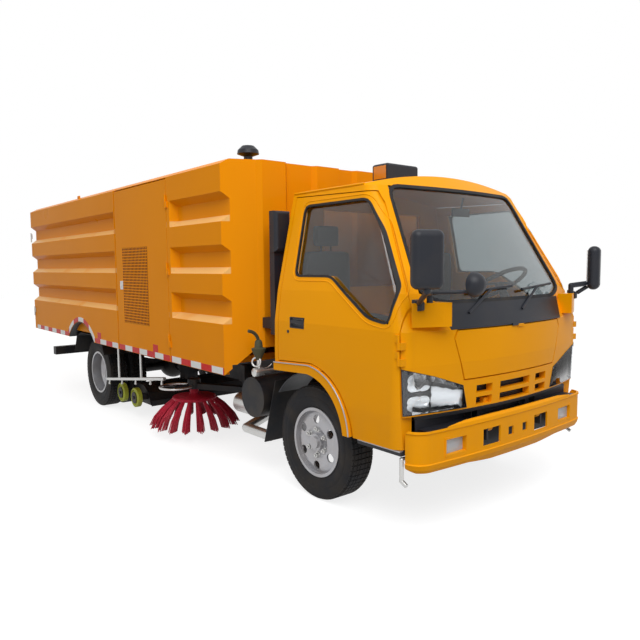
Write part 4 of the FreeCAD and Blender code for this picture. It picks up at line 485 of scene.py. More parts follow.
def close_edit():
    """Leave edit mode with the mesh kept."""
    bpy.ops.object.mode_set(mode="OBJECT")


def finish_with(piece, kind, **settings):
    """Add a modifier and apply it at once."""
    clear_bench()
    bpy.context.view_layer.objects.active = piece
    piece.select_set(True)
    change = piece.modifiers.new(kind.title(), kind)
    for name, value in settings.items():
        setattr(change, name, value)
    bpy.ops.object.modifier_apply(modifier=change.name)
    return piece


def soften(piece, width, segments=2, angle=0.6):
    """Ease the piece's sharp edges."""
    return finish_with(piece, "BEVEL", width=width, segments=segments, limit_method="ANGLE", angle_limit=angle)


def thicken(piece, thickness, offset=0.0):
    """Turn a skin into a wall, on both sides of it or, with offset -1, inside it."""
    return finish_with(piece, "SOLIDIFY", thickness=thickness, offset=offset)


def cut_away(piece, wanted=None):
    """Delete the faces that wanted chooses, or those that an inset has left selected."""
    if wanted:
        edit(piece, wanted)
    bpy.ops.mesh.delete(type="FACE")
    close_edit()
    return piece


def punched(piece, rim):
    """Open every face of a sheet, leaving a rim round each hole."""
    edit(piece)
    bpy.ops.mesh.inset(use_individual=True, thickness=rim, depth=0.0)
    return cut_away(piece)


def smooth(piece, angle=0.7):
    """Shade the piece smooth, with edges past this angle kept sharp."""
    clear_bench()
    bpy.context.view_layer.objects.active = piece
    piece.select_set(True)
    bpy.ops.object.shade_smooth_by_angle(angle=angle)
    return piece


def twin(piece, name, place=None):
    """A copy with its own mesh, mirrored across the truck or moved by a matrix."""
    clear_bench()
    other = piece.copy()
    other.data = piece.data.copy()
    other.name = other.data.name = name
    bpy.context.collection.objects.link(other)
    if place is None:
        place = Matrix.Scale(-1.0, 4, (0.0, 1.0, 0.0))
    other.data.transform(place)
    if place.determinant() < 0:
        other.data.flip_normals()
    return other


def joined(name, pieces):
    """Several meshes as one piece."""
    clear_bench()
    for piece in pieces:
        piece.select_set(True)
    bpy.context.view_layer.objects.active = pieces[0]
    if len(pieces) > 1:
        bpy.ops.object.join()
    whole = bpy.context.object
    whole.name = whole.data.name = name
    return whole


def ring_of(piece, name, centre, axis, count):
    """Copies of one piece turned round an axis and joined."""
    copies = []
    for index in range(count):
        swung = Matrix.Rotation(2 * math.pi * index / count, 4, axis)
        move = Matrix.Translation(centre) @ swung @ Matrix.Translation(-Vector(centre))
        copies.append(twin(piece, name, move))
    bpy.data.objects.remove(piece)
    return joined(name, copies)


def dress(piece, finish, body, slot, *replaced):
    """Paint a finished piece, let it ride on its body and hide the solids it stands for."""
    piece.data.materials.clear()
    piece.data.materials.append(finish.material)
    if replaced:
        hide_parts(*replaced)
    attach(piece, body)
    return piece


def both_sides(piece, finish, bodies, slot, replaced=((), ())):
    """Dress a piece made on the left and its mirror image on the right."""
    stem = piece.name
    right = twin(piece, stem + "_right")
    piece.name = piece.data.name = stem + "_left"
    dress(piece, finish, bodies[0], slot, *replaced[0])
    dress(right, finish, bodies[1], slot, *replaced[1])
    print(stem, len(piece.data.polygons), "faces a side")


# %% [markdown]
# A tyre is a body of revolution, so its section is drawn once as a loop and spun round
# the axle. Its shoulders carry the moulding ring that every tyre has. The tread is cut
# into the spun surface: the faces over the crown are inset one by one and pushed out,
# which leaves grooves between blocks, as a mould does. Modelling blocks one by one and
# laying them round would leave seams against the carcass.

# %% Draw and spin a tyre
tyre_radius = axle_z
tyre_half = (tyre_high[1] - tyre_low[1]) / 2
rim_edge = 0.2345
tread_height = 0.009
side_places = ((0.80, 0.00), (0.84, 0.07), (0.93, 0.20), (1.00, 0.40), (1.00, 0.52),
               (0.975, 0.56), (0.985, 0.62), (0.955, 0.80), (0.90, 0.93), (0.80, 1.0))
crown_places = (0.50, 0.22)
tread_steps = 64


def tyre_section():
    """Section of the tyre: out along one side, over the crown and back."""
    top = tyre_radius - tread_height
    side = [(tyre_half * wide, rim_edge + (top - rim_edge) * high) for wide, high in side_places]
    side += [(tyre_half * wide, top) for wide in crown_places]
    return side + [(-wide, high) for wide, high in reversed(side)]


def spun(loop, centre, axis, steps, merge):
    """A section's loop spun once round an axis, with its seam and poles closed."""
    edit(loop)
    bpy.ops.mesh.select_mode(type="EDGE")
    bpy.ops.mesh.select_all(action="SELECT")
    bpy.ops.mesh.spin(steps=steps, angle=2 * math.pi, center=centre, axis=axis)
    bpy.ops.mesh.select_all(action="SELECT")
    bpy.ops.mesh.remove_doubles(threshold=merge)
    bpy.ops.mesh.normals_make_consistent(inside=False)
    close_edit()
    return loop


def make_tyre(name, middle_y, x):
    """One tyre with its tread, standing at x and middle_y."""
    hub = at(x, middle_y, axle_z)
    section = outline(name, [at(x, middle_y + wide, axle_z + high) for wide, high in tyre_section()])
    tyre = spun(section, hub, (0.0, 1.0, 0.0), tread_steps, 0.0004)

    def on_tread(centre, normal):
        reach = math.hypot(centre.x - hub.x, centre.z - hub.z)
        return reach > tyre_radius - 0.016 and abs(centre.y - hub.y) < tyre_half * 0.86

    edit(tyre, on_tread)
    bpy.ops.mesh.inset(use_individual=True, thickness=0.0035, depth=tread_height - 0.001)
    close_edit()
    return smooth(tyre, 0.5)


# %% [markdown]
# The front wheels carry one tyre each and the rear wheels two, side by side. The tyre is
# made once for the left front wheel and again, moved, for each place of the rear pair, so
# that every tyre fits the solid it replaces. The right side is the mirror image.

# %% Fit the road wheels with tyres
front_y = (tyre_low[1] + tyre_high[1]) / 2
rear_low, rear_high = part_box("rear_tyres_left")
rear_x = (rear_low[0] + rear_high[0]) / 2 - axle_x
twin_ys = (rear_low[1] + tyre_half, rear_high[1] - tyre_half)
front_tyre = make_tyre("front_tyre", front_y, 0.0)
both_sides(front_tyre, tyre_rubber, ("front_wheel_left", "front_wheel_right"), "tyre_rubber",
           (("front_tyre_left",), ("front_tyre_right",)))
rear_pair = joined("rear_tyre_pair", [make_tyre("rear_tyre", y, rear_x) for y in twin_ys])
both_sides(rear_pair, tyre_rubber, ("rear_wheels_left", "rear_wheels_right"), "tyre_rubber",
           (("rear_tyres_left",), ("rear_tyres_right",)))

# %% [markdown]
# The wheels are pressed steel with six hand holes, which the solids already have. What
# makes them read as wheels is the ring of nuts round the hub. One nut is turned from a
# six-sided drum with its corners eased and a stud end standing out of it, then copied
# round the hub.

# %% Wheel nuts and hub caps
def nut_ring(name, x, face_y, ring_radius, count):
    """Nuts with their stud ends, standing out of a disc's face."""
    spot = at(x, face_y, axle_z + ring_radius)
    nut = soften(drum(name, spot, spot + Vector((0.0, 0.020, 0.0)), 0.017, 6), 0.002)
    washer = drum(name, spot - Vector((0.0, 0.004, 0.0)), spot + Vector((0.0, 0.003, 0.0)), 0.023, 16)
    soften(washer, 0.001)
    stud = soften(drum(name, spot, spot + Vector((0.0, 0.031, 0.0)), 0.0085, 10), 0.0015)
    one = joined(name, [nut, washer, stud])
    return smooth(ring_of(one, name, at(x, face_y, axle_z), "Y", count))


front_nuts = nut_ring("front_wheel_nuts", 0.0, front_y + 0.064, 0.090, 6)
both_sides(front_nuts, bright_steel, ("front_wheel_left", "front_wheel_right"), "bright_steel")
rear_nuts = nut_ring("rear_wheel_nuts", rear_x, (twin_ys[0] + twin_ys[1]) / 2 + 0.012, 0.105, 6)
both_sides(rear_nuts, bright_steel, ("rear_wheels_left", "rear_wheels_right"), "bright_steel")

# %% [markdown]
# The cab's skin leans in above the belt and bows across the front, so whatever lies on it
# has to follow it. The pressing is known by a few heights, with how far its nose and its
# side stand out at each; between them it is straight, so a place on the skin is found
# by interpolating, and no measuring of the mesh is needed.

# %% Find places on the cab's skin
skin_heights = (0.525, 0.720, 1.000, 1.195, 1.404, 2.052, 2.150)
skin_noses = (0.955, 0.971, 0.985, 0.981, 0.900, 0.523, 0.433)
skin_halves = (0.921, 0.930, 0.930, 0.926, 0.8965, 0.747, 0.693)
front_bow = 3.570
corner_round = 0.090


def between(z, values):
    """The value at height z, read off the straight lines between the skin's heights."""
    z = min(max(z, skin_heights[0]), skin_heights[-1])
    for index in range(len(skin_heights) - 1):
        low, high = skin_heights[index], skin_heights[index + 1]
        if z <= high:
            return values[index] + (values[index + 1] - values[index]) * (z - low) / (high - low)
    return values[-1]


def corner_centre(z):
    """Where the rounded corner of the cab's plan is centred at this height."""
    turn_y = between(z, skin_halves) - corner_round
    turn_x = between(z, skin_noses) - front_bow + math.sqrt(front_bow ** 2 - turn_y ** 2)
    return turn_x - corner_round, turn_y


def on_front(y, z, proud=0.0):
    """A place on the front skin, or so far proud of it."""
    centre_x, turn_y = corner_centre(z)
    if abs(y) <= turn_y:
        return at(between(z, skin_noses) - front_bow + math.sqrt(front_bow ** 2 - y * y) + proud, y, z)
    over = min(abs(y) - turn_y, corner_round * 0.999)
    return at(centre_x + math.sqrt(corner_round ** 2 - over ** 2) + proud, y, z)


def on_flank(x, z, proud=0.0):
    """A place on the left side skin, or so far proud of it."""
    centre_x, turn_y = corner_centre(z)
    if x <= centre_x:
        return at(x, between(z, skin_halves) + proud, z)
    over = min(x - centre_x, corner_round * 0.999)
    return at(x, turn_y + math.sqrt(corner_round ** 2 - over ** 2) + proud, z)


print("nose at the belt", round(on_front(0.0, 1.195).x - axle_x, 3), "side", round(on_flank(0.0, 1.195).y, 3))

# %% [markdown]
# A rubber seal runs round each window. It is a loop on the glass bridged to a loop on the
# paint, and then given its thickness. Both loops come from the opening's corners, eased
# with short arcs and cut into short runs so that they bend with the skin.

# %% Round an opening's corners
def eased(corners, radius, run=0.05):
    """Corners of an opening, rounded, with points along every side."""
    points = []
    count = len(corners)
    for index in range(count):
        last, here, following = (Vector(corners[(index + step) % count]) for step in (-1, 0, 1))
        back, on = (last - here), (following - here)
        cut = min(radius, back.length * 0.45, on.length * 0.45)
        start, end = here + back.normalized() * cut, here + on.normalized() * cut
        for step in range(5):
            share = step / 4
            points.append(start * (1 - share) ** 2 + here * 2 * share * (1 - share) + end * share ** 2)
    full = []
    for index, point in enumerate(points):
        following = points[(index + 1) % len(points)]
        steps = max(1, round((following - point).length / run))
        full += [point.lerp(following, step / steps) for step in range(steps)]
    return full


def widened(points, gap):
    """A loop moved outwards by gap, each point square to the line there."""
    middle = sum(points, Vector((0.0, 0.0))) / len(points)
    moved = []
    for index, point in enumerate(points):
        run = points[(index + 1) % len(points)] - points[index - 1]
        out = Vector((run.y, -run.x)).normalized()
        if out.dot(point - middle) < 0:
            out = -out
        moved.append(point + out * gap)
    return moved


def seal(name, corners, radius, lap, spread, depth, place):
    """A band round an opening, lapping the glass by lap and the paint by spread."""
    loop = eased(corners, radius)
    inner = outline(name, [place(p.x, p.y) for p in widened(loop, -lap)])
    outer = outline(name, [place(p.x, p.y) for p in widened(loop, spread)])
    band = joined(name, [inner, outer])
    edit(band)
    bpy.ops.mesh.select_mode(type="EDGE")
    bpy.ops.mesh.select_all(action="SELECT")
    bpy.ops.mesh.bridge_edge_loops()
    bpy.ops.mesh.normals_make_consistent(inside=False)
    close_edit()
    thicken(band, depth)
    edit(band)
    bpy.ops.mesh.normals_make_consistent(inside=False)
    close_edit()
    return smooth(band, 0.6)


# %% [markdown]
# The side window has eight corners, and they are written as shares of the door's length
# and height, as the solid's are, so that the seal stays on the opening.

# %% Seal the side windows
door_rear, door_front, door_low, door_top = -0.285, 0.846, 0.525, 2.038
window_shares = ((0.119, 0.6436), (0.444, 0.6436), (0.774, 0.4865), (0.926, 0.469),
                 (0.946, 0.591), (0.774, 0.822), (0.641, 0.9525), (0.106, 0.9525))
window = [(door_rear + (door_front - door_rear) * sx, door_low + (door_top - door_low) * sz)
          for sx, sz in window_shares]
side_seal = seal("side_window_seal", window, 0.05, 0.008, 0.007, 0.012, lambda x, z: on_flank(x, z, -0.004))
both_sides(side_seal, black_rubber, ("cab_door_left", "cab_door_right"), "black_rubber")

# %% [markdown]
# The windscreen is wider below than above and bends with the cab's front. The same helper
# makes its seal; only the rule that lays a flat point on the skin is another one.

# %% Seal the windscreen
screen_low, screen_high, cab_half = 1.404, 2.052, 0.930
screen_shares = ((-0.792, 0.0), (-0.645, -0.091), (0.645, -0.091), (0.792, 0.0), (0.672, 1.0), (-0.672, 1.0))
screen = [(cab_half * sy, screen_low + (screen_high - screen_low) * sz) for sy, sz in screen_shares]
screen_seal = seal("windscreen_seal", screen, 0.08, 0.013, 0.008, 0.014, lambda y, z: on_front(y, z, -0.004))
dress(screen_seal, black_rubber, "cab", "black_rubber")
print("windscreen seal", len(screen_seal.data.polygons), "faces")

# %% [markdown]
# Each headlamp is a dark bowl behind a clear cover: two stacked square reflectors at its
# outer end and one larger cut lens inboard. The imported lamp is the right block, so its
# mesh is copied and parted by face direction: the faces that look outwards become the
# cover, and the rest stays as the bowl. The reflectors are shallow dishes, each one a
# sphere's cap pressed into a frame.

# %% Part the headlamp block into bowl and cover
def copy_of_solid(node, name):
    """The node's mesh as a new piece, with its loose triangles merged."""
    clear_bench()
    piece = frame["nodes"][node].copy()
    piece.data = piece.data.copy()
    piece.parent = None
    piece.matrix_world = Matrix.Identity(4)
    piece.name = piece.data.name = name
    bpy.context.collection.objects.link(piece)
    edit(piece)
    bpy.ops.mesh.remove_doubles(threshold=0.00002)
    close_edit()
    return piece


def faces_out(centre, normal):
    """Whether a face of the lamp block lies on the cab's front or round its corner."""
    outward = abs(normal.y) > 0.6 and normal.y * centre.y > 0
    return normal.x > 0.45 or (outward and normal.x > -0.2 and abs(centre.y) > 0.82)


cover = copy_of_solid("headlamps", "headlamp_cover")
bowl = copy_of_solid("headlamps", "headlamp_bowl")
thicken(cut_away(cover, lambda centre, normal: not faces_out(centre, normal)), 0.002, -1.0)
thicken(cut_away(bowl, faces_out), 0.003, -1.0)
dress(cover, lamp_clear, "cab", "lamp_lens", "headlamps")
dress(bowl, black_plastic, "cab", "black_plastic")
print("headlamp cover", len(cover.data.polygons), "bowl", len(bowl.data.polygons))

# %% [markdown]
# A reflector is pressed from thin sheet and sits just inside the cover. Three caps of a
# ball do, drawn out towards their corners to look square; a full parabola would not show.

# %% Press the reflectors
dish_squareness = 0.40


def dish(name, y, z, wide, high, depth, slant=0.0):
    """A shallow reflector: a ball's cap, squared a little and slanted, facing forwards."""
    clear_bench()
    bpy.ops.mesh.primitive_uv_sphere_add(segments=28, ring_count=12, radius=1.0,
                                         rotation=(0.0, math.pi / 2, 0.0))
    cap = settle(bpy.context.object, name)
    cut_away(cap, lambda centre, normal: centre.x > -0.05)
    front = on_front(y, z, -0.008)
    for corner in cap.data.vertices:
        x, side, up = corner.co
        square = 1.0 + dish_squareness * min(abs(side), abs(up))
        across, rise = side * wide * square, up * high * square + slant * side * wide
        place = Vector((front.x + x * depth, y + across, z + rise))
        lean = on_front(place.y, place.z, -0.010).x - front.x
        corner.co = place + Vector((lean * (1.0 if abs(x) < 0.5 else 0.9), 0.0, 0.0))
    return smooth(thicken(cap, 0.0015), 0.9)


lamps = [dish("lamp_reflectors", 0.795, 0.908, 0.074, 0.048, 0.010),
         dish("lamp_reflectors", 0.797, 0.790, 0.070, 0.040, 0.010),
         dish("lamp_reflectors", 0.603, 0.806, 0.108, 0.066, 0.012, slant=0.24)]
both_sides(joined("lamp_reflectors", lamps), reflector, ("cab", "cab"), "bright_steel")
print("dishes behind each cover", len(lamps))

# %% [markdown]
# The grille slots are black inside, and between the panel and the bumper lies a black band
# of shade. A grid laid a little behind the panel's skin does each. The grille's grid has its
# faces inset and opened, so that it is a real mesh screen; the closed black sheet behind it
# and the black band under the panel are painted shade.

# %% Screens behind the grille slots
def bent_grid(name, y0, y1, z0, z1, columns, rows, place):
    """A grid between two widths and two heights, laid where place puts each point."""
    clear_bench()
    bpy.ops.mesh.primitive_grid_add(x_subdivisions=columns, y_subdivisions=rows, size=1.0)
    grid = settle(bpy.context.object, name)
    for corner in grid.data.vertices:
        u, v = corner.co.x + 0.5, corner.co.y + 0.5
        corner.co = place(y0 + (y1 - y0) * u, z0 + (z1 - z0) * v)
    return grid


def behind_panel(name, half, z0, z1, columns, rows, behind):
    """A sheet across the cab's front, so far behind its skin."""
    return bent_grid(name, -half, half, z0, z1, columns, rows, lambda y, z: on_front(y, z, -behind))


screen_mesh = punched(behind_panel("grille_screen", 0.40, 0.726, 0.858, 52, 10, 0.050), 0.0022)
screen_mesh = thicken(screen_mesh, 0.003)
# Painted shade: a closed black sheet behind the grille and a black band under the panel.
shade = thicken(behind_panel("grille_shade", 0.42, 0.716, 0.868, 20, 1, 0.066), 0.003)
shade_band = thicken(behind_panel("panel_shade_band", 0.80, 0.686, 0.726, 40, 1, 0.034), 0.004)
for sheet in (screen_mesh, shade, shade_band):
    dress(sheet, black_plastic, "cab", "black_plastic")
print("grille screen", len(screen_mesh.data.polygons), "faces")

# %% [markdown]
# Through the bumper's holes and over its top edge only darkness shows, so black plates
# stand behind it on the chassis, with a tray from them to the bumper's wall, as painted
# shade. The plates leave room for the arms that the cab tilts on. Each arm has a black
# sleeve of painted shade, and each mirror's strut ends on a small black foot, which is a
# block with its front face drawn in.

# %% Plates behind the bumper, sleeves and mirror feet
shading_back, shading_front = 0.850, 0.856
shading_places = ((-0.225, 0.225, 0.560, 0.716), (-0.800, 0.800, 0.420, 0.556),
                 (0.356, 0.800, 0.540, 0.692), (-0.800, -0.356, 0.540, 0.692))
# Painted shade: black plates and trays stand in for the darkness inside the bumper.
shading = [block("shading_plate", at(shading_back, y0, z0), at(shading_front, y1, z1))
          for y0, y1, z0, z1 in shading_places]
dress(soften(joined("shading_plate", shading), 0.002), black_plastic, "root", "black_plastic")
bumper_nose, bumper_bow, wall_gap = 1.005, 8.0, 0.024
tray_back, tray_z = 0.860, 0.636


def in_bumper(y, share):
    """A place on the tray inside the bumper, from the shading plate to the bumper's wall."""
    wall_x = bumper_nose - bumper_bow + math.sqrt(bumper_bow ** 2 - y * y) - wall_gap
    return at(tray_back + (wall_x - tray_back) * share, y, tray_z)


trays = [bent_grid("bumper_shading_tray", y0, y1, 0.0, 1.0, 12, 1, in_bumper)
         for y0, y1 in ((-0.78, -0.30), (-0.22, 0.22), (0.30, 0.78))]
dress(thicken(joined("bumper_shading_tray", trays), 0.003), black_plastic, "root", "black_plastic")
# Painted shade: a black sleeve over each tilt arm darkens it in the gap.
sleeve = soften(block("tilt_arm_shading_sleeve", at(0.8465, 0.2385, 0.606), at(0.8935, 0.2815, 0.7195)), 0.001)
both_sides(sleeve, black_plastic, ("cab", "cab"), "black_plastic")
foot = block("mirror_foot", at(0.862, 0.795, 1.302), at(0.924, 0.842, 1.376))
edit(foot, lambda centre, normal: normal.x > 0.9)
bpy.ops.transform.resize(value=(1.0, 0.6, 0.6), center_override=(0.0, 0.812, 1.340))
close_edit()
both_sides(soften(foot, 0.004), black_plastic, ("cab", "cab"), "black_plastic")
print("splash plates", len(shading), "trays", len(trays))

# %% [markdown]
# The door handle sits in a moulded black tray. The tray is a block whose outer face is
# inset and pushed in, and the grip is a bar across it with room for fingers behind.

# %% Door handles
tray = block("door_handle", at(-0.147, 0.9065, 1.155), at(0.005, 0.9295, 1.227))
edit(tray, lambda centre, normal: normal.y > 0.9)
bpy.ops.mesh.inset(thickness=0.007, depth=0.0)
bpy.ops.mesh.inset(thickness=0.003, depth=-0.016)
close_edit()
grip = soften(block("door_grip", at(-0.143, 0.917, 1.183), at(0.001, 0.9275, 1.209)), 0.004, 3)
lock = drum("door_lock", at(-0.166, 0.923, 1.128), at(-0.166, 0.9315, 1.128), 0.011, 20)
handle = smooth(joined("door_handle", [soften(tray, 0.003, 2), grip, soften(lock, 0.002)]))
both_sides(handle, black_plastic, ("cab_door_left", "cab_door_right"), "black_plastic")

# %% [markdown]
# Thin edges catch the light and make a pressed cab look pressed: a raised line round the
# side window, the rain gutter over the door, the bright edge of the wheel arch and the
# sill over the step. The sill is a block; the others are round bars bent along a line. A
# bevelled curve makes such a bar in one step, and it is turned into a mesh at once, so that
# it exports as it looks.

# %% Window frame, gutter, arch edge and sill
def bar_along(name, places, radius):
    """A round bar bent through the places."""
    clear_bench()
    path = bpy.data.curves.new(name, "CURVE")
    path.dimensions = "3D"
    path.bevel_depth, path.bevel_resolution = radius, 3
    line = path.splines.new("POLY")
    line.points.add(len(places) - 1)
    for spot, place in zip(line.points, places):
        spot.co = (*place, 1.0)
    path.use_fill_caps = True
    bar = bpy.data.objects.new(name, path)
    bpy.context.collection.objects.link(bar)
    bar.select_set(True)
    bpy.context.view_layer.objects.active = bar
    bpy.ops.object.convert(target="MESH")
    bar = bpy.context.object
    bar.name = bar.data.name = name
    return smooth(bar, 0.9)


def arc_through(first, middle, last, steps):
    """Points on the circle through three places of one upright plane."""
    (ax, az), (bx, bz), (cx, cz) = first, middle, last
    d = 2 * (ax * (bz - cz) + bx * (cz - az) + cx * (az - bz))
    a, b, c = ax * ax + az * az, bx * bx + bz * bz, cx * cx + cz * cz
    ux = (a * (bz - cz) + b * (cz - az) + c * (az - bz)) / d
    uz = (a * (cx - bx) + b * (ax - cx) + c * (bx - ax)) / d
    radius = math.hypot(ax - ux, az - uz)
    start, end = math.atan2(az - uz, ax - ux), math.atan2(cz - uz, cx - ux)
    return [(ux + radius * math.cos(start + (end - start) * step / steps),
             uz + radius * math.sin(start + (end - start) * step / steps)) for step in range(steps + 1)]


pressed = widened(eased(window, 0.05), 0.030)
frame_edge = bar_along("window_frame", [on_flank(p.x, p.y, -0.0012) for p in pressed + pressed[:1]], 0.0045)
both_sides(frame_edge, cab_yellow, ("cab_door_left", "cab_door_right"), "cab_yellow")
gutter = bar_along("roof_gutter", [on_flank(-0.312 + 0.116 * step, 2.062, 0.002) for step in range(7)], 0.0075)
both_sides(gutter, cab_yellow, ("cab", "cab"), "cab_yellow")
flare_y = 0.945
flare_line = [(-0.318, 0.906)] + arc_through((0.060, 0.925), (0.330, 0.800), (0.449, 0.536), 20)
flare_edge = bar_along("flare_edge", [at(x, flare_y, z) for x, z in flare_line], 0.0045)
both_sides(flare_edge, rim_silver, ("cab", "cab"), "bright_steel")
sill = soften(block("step_sill", at(0.490, 0.874, 0.519), at(0.838, 0.908, 0.5285)), 0.003)
both_sides(sill, rim_silver, ("cab", "cab"), "bright_steel")
print("window frame", len(pressed), "points", "arch edge", len(flare_line), "points")

# %% [markdown]
# The mirrors face backwards, so from the photograph only their shells show; from behind
# the truck they need glass. The face is a block with eased edges, turned with its shell and
# set back just behind it.

# %% Mirror faces
def mirror_glass(name, centre, turn, depth, wide, high):
    """A mirror's face, just behind a shell of this depth that is turned to the driver."""
    pane = block(name, (-0.004, -wide / 2, -high / 2), (0.004, wide / 2, high / 2))
    soften(pane, 0.020, 4, 0.3)
    inset = Matrix.Translation((-depth / 2 - 0.001, 0.0, 0.0))
    pane.data.transform(Matrix.Translation(centre) @ Matrix.Rotation(turn, 4, "Z") @ inset)
    return smooth(pane)


panes = [mirror_glass("mirror_glass", centre, math.radians(turn), 0.082, 0.128, 0.256)
         for centre, turn in ((at(0.985, 0.940, 1.531), 24.0), (at(1.062, -0.945, 1.592), -24.0))]
dress(joined("mirror_glass", panes), mirror_face, "cab", "bright_steel")
glance = [soften(block("inner_mirror", at(0.488, -0.045, 1.885), at(0.506, 0.135, 1.940)), 0.006, 3),
          drum("inner_mirror", at(0.500, 0.045, 1.930), at(0.515, 0.045, 2.012), 0.007, 12)]
dress(smooth(joined("inner_mirror", glance)), black_plastic, "cab", "black_plastic")

# %% [markdown]
# The light unit on the roof is a black box with an amber lens at each end. The box is the
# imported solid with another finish, and each lens is a thin block laid on its end.

# %% Light unit on the roof
repaint("light_bar", black_plastic)
side_lens = soften(block("light_lens", at(-0.128, 0.1595, 2.185), at(-0.004, 0.1625, 2.278)), 0.0012)
both_sides(side_lens, amber_lens, ("cab", "cab"), "amber_lens")

# %% [markdown]
# A band of red and white reflective tape runs along the foot of the box and over the rear
# wheel arch. It is a strip of thin sheet that lies on each panel, so that the part on the
# hopper tips with it and the part on the service door opens with that. Its squares are
# not modelled one by one: the finish changes colour by the distance along the truck.

# %% Reflective tape
tape_red, square_pair, weave_pitch = (0.62, 0.010, 0.008), 0.330, 260.0


def woven(finish):
    """Give a tape its fine square grain."""
    grain = (finish.along("x") * weave_pitch).part() * (finish.along("z") * weave_pitch).part()
    finish.bump(grain, 0.25, 0.0006)
    return finish


tape = Finish("reflective_tape", (0.80, 0.80, 0.77), 0.35, specular_ior_level=0.1)
tape.tint(((tape.along("x") / square_pair).part() > 0.5) * 1.0, tape_red)
woven(tape)
box_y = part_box("hopper")[1][1]
tape_low, tape_high, tape_sunk, tape_proud = 0.778, 0.828, 0.0003, 0.0012
arch_middle, arch_half, arch_rise, arch_foot = -3.815, 0.420, 0.195, 0.775
arch_round = (arch_half ** 2 + arch_rise ** 2) / (2 * arch_rise)
arch_reach = math.asin(arch_half / arch_round)


def on_arch(angle, beyond, y):
    """A place over the rear wheel, so far outside the arch's edge."""
    radius, centre_z = arch_round + beyond, arch_foot + arch_rise - arch_round
    return at(arch_middle + radius * math.sin(angle), y, centre_z + radius * math.cos(angle))


def tape_run(name, x0, x1, low=tape_low, high=tape_high):
    """A straight length of tape on the left side."""
    return block(name, at(x0, box_y - tape_sunk, low), at(x1, box_y + tape_proud, high))


over_arch = thicken(bent_grid("hopper_tape", -arch_reach, arch_reach, 0.003, 0.051, 28, 1,
                              lambda angle, beyond: on_arch(angle, beyond, box_y + tape_proud)), 0.0015)
hopper_tape = joined("hopper_tape", [tape_run("hopper_tape", -5.505, -4.275), over_arch,
                                     tape_run("hopper_tape", -3.355, -2.735)])
door_tape = tape_run("door_tape", -2.698, -1.602)
front_tape = tape_run("front_tape", -1.585, -0.725)
hoppers, bay_doors = ("tipping_hopper", "tipping_hopper"), ("bay_door_left", "bay_door_right")
for strip, bodies in ((hopper_tape, hoppers), (door_tape, bay_doors), (front_tape, ("root", "root"))):
    both_sides(strip, tape, bodies, "lamp_lens")
print("tape at", tape_low, "to", tape_high, "m")

# %% [markdown]
# Inside the rear arch all is shade, so a bent black sheet lines it as painted shade and
# tips with the hopper. The broom arms are black too, and two single red squares of tape
# stand above the band, one on the hopper and one on the service door.

# %% Arch lining, broom arms and red squares
# Painted shade: a black sheet inside the rear arch.
lining = bent_grid("arch_shade_lining", -arch_reach, arch_reach, 0.004, 0.304, 28, 1,
                   lambda angle, inwards: on_arch(angle, -0.006, box_y - inwards))
both_sides(thicken(lining, 0.004), black_plastic, hoppers, "black_plastic")
for arm in ("broom_arm_left", "broom_arm_right"):
    repaint(arm, chassis_black)
red_tape = woven(Finish("red_tape", tape_red, 0.35, specular_ior_level=0.1))
patch_low, patch_high, patch_long = tape_high + 0.0005, tape_high + 0.066, 0.100
for name, x, bodies in (("hopper_patch", -3.290, hoppers), ("door_patch", -1.930, bay_doors)):
    both_sides(tape_run(name, x, x + patch_long, patch_low, patch_high), red_tape, bodies, "red_lens")
print("arch lined over", round(2 * math.degrees(arch_reach)), "degrees")

# %% [markdown]
# The service door breathes through a punched panel. The door's solid has its slots, and
# over them lies the sheet itself: a grid whose faces are inset and then opened, so every
# hole is a real hole, with a dark liner behind it as painted shade.

# %% Punched vent panel
# Painted shade: a dark brown-red, darker than the orange paint, for the shade behind the holes.
vent_shade = dusty("vent_shade", (0.10, 0.018, 0.012), 0.8, 0.1, specular_ior_level=0.1)
vent_rear, vent_front, vent_low, vent_high, liner_lap = -2.545, -1.990, 1.050, 1.745, 0.002
panel = bent_grid("vent_panel", vent_rear, vent_front, vent_low, vent_high, 18, 27,
                  lambda x, z: at(x, box_y + 0.0015, z))
both_sides(thicken(punched(panel, 0.0043), 0.0016), body_orange, bay_doors, "body_orange")
liner = block("vent_shade_liner", at(vent_rear - liner_lap, box_y - 0.001, vent_low - liner_lap),
              at(vent_front + liner_lap, box_y + 0.0006, vent_high + liner_lap))
both_sides(liner, vent_shade, bay_doors, "dark_trim")
print("vent sheet", len(panel.data.polygons), "faces")

# %% [markdown]
# Small bright fittings hold the doors: a recessed latch with its bar on each service door,
# and two catches down each edge of the tailgate, a strap with an upright grip. They are
# blocks and a drum with their edges eased. A lug for lifting stands on the roof's edge.

# %% Door latch, rear catches and hopper lug
latch_plate = block("door_latch", at(-2.615, box_y - 0.001, 1.358), at(-2.552, box_y + 0.005, 1.438))
soften(latch_plate, 0.003)
edit(latch_plate, lambda centre, normal: normal.y > 0.9)
bpy.ops.mesh.inset(thickness=0.014, depth=-0.004)
close_edit()
latch_bar = block("door_latch", at(-2.600, box_y - 0.001, 1.390), at(-2.567, box_y + 0.012, 1.404))
latch = joined("door_latch", [latch_plate, soften(latch_bar, 0.003)])
both_sides(latch, bright_steel, bay_doors, "bright_steel")


def gate_catch(name, z):
    """A catch on the gate's side edge: a strap and a grip."""
    strap = block(name, at(-5.596, box_y - 0.001, z - 0.03), at(-5.545, box_y + 0.008, z + 0.03))
    grip_foot, grip_head = at(-5.570, box_y + 0.010, z - 0.075), at(-5.570, box_y + 0.010, z + 0.045)
    return [soften(strap, 0.002), soften(drum(name, grip_foot, grip_head, 0.008, 12), 0.002)]


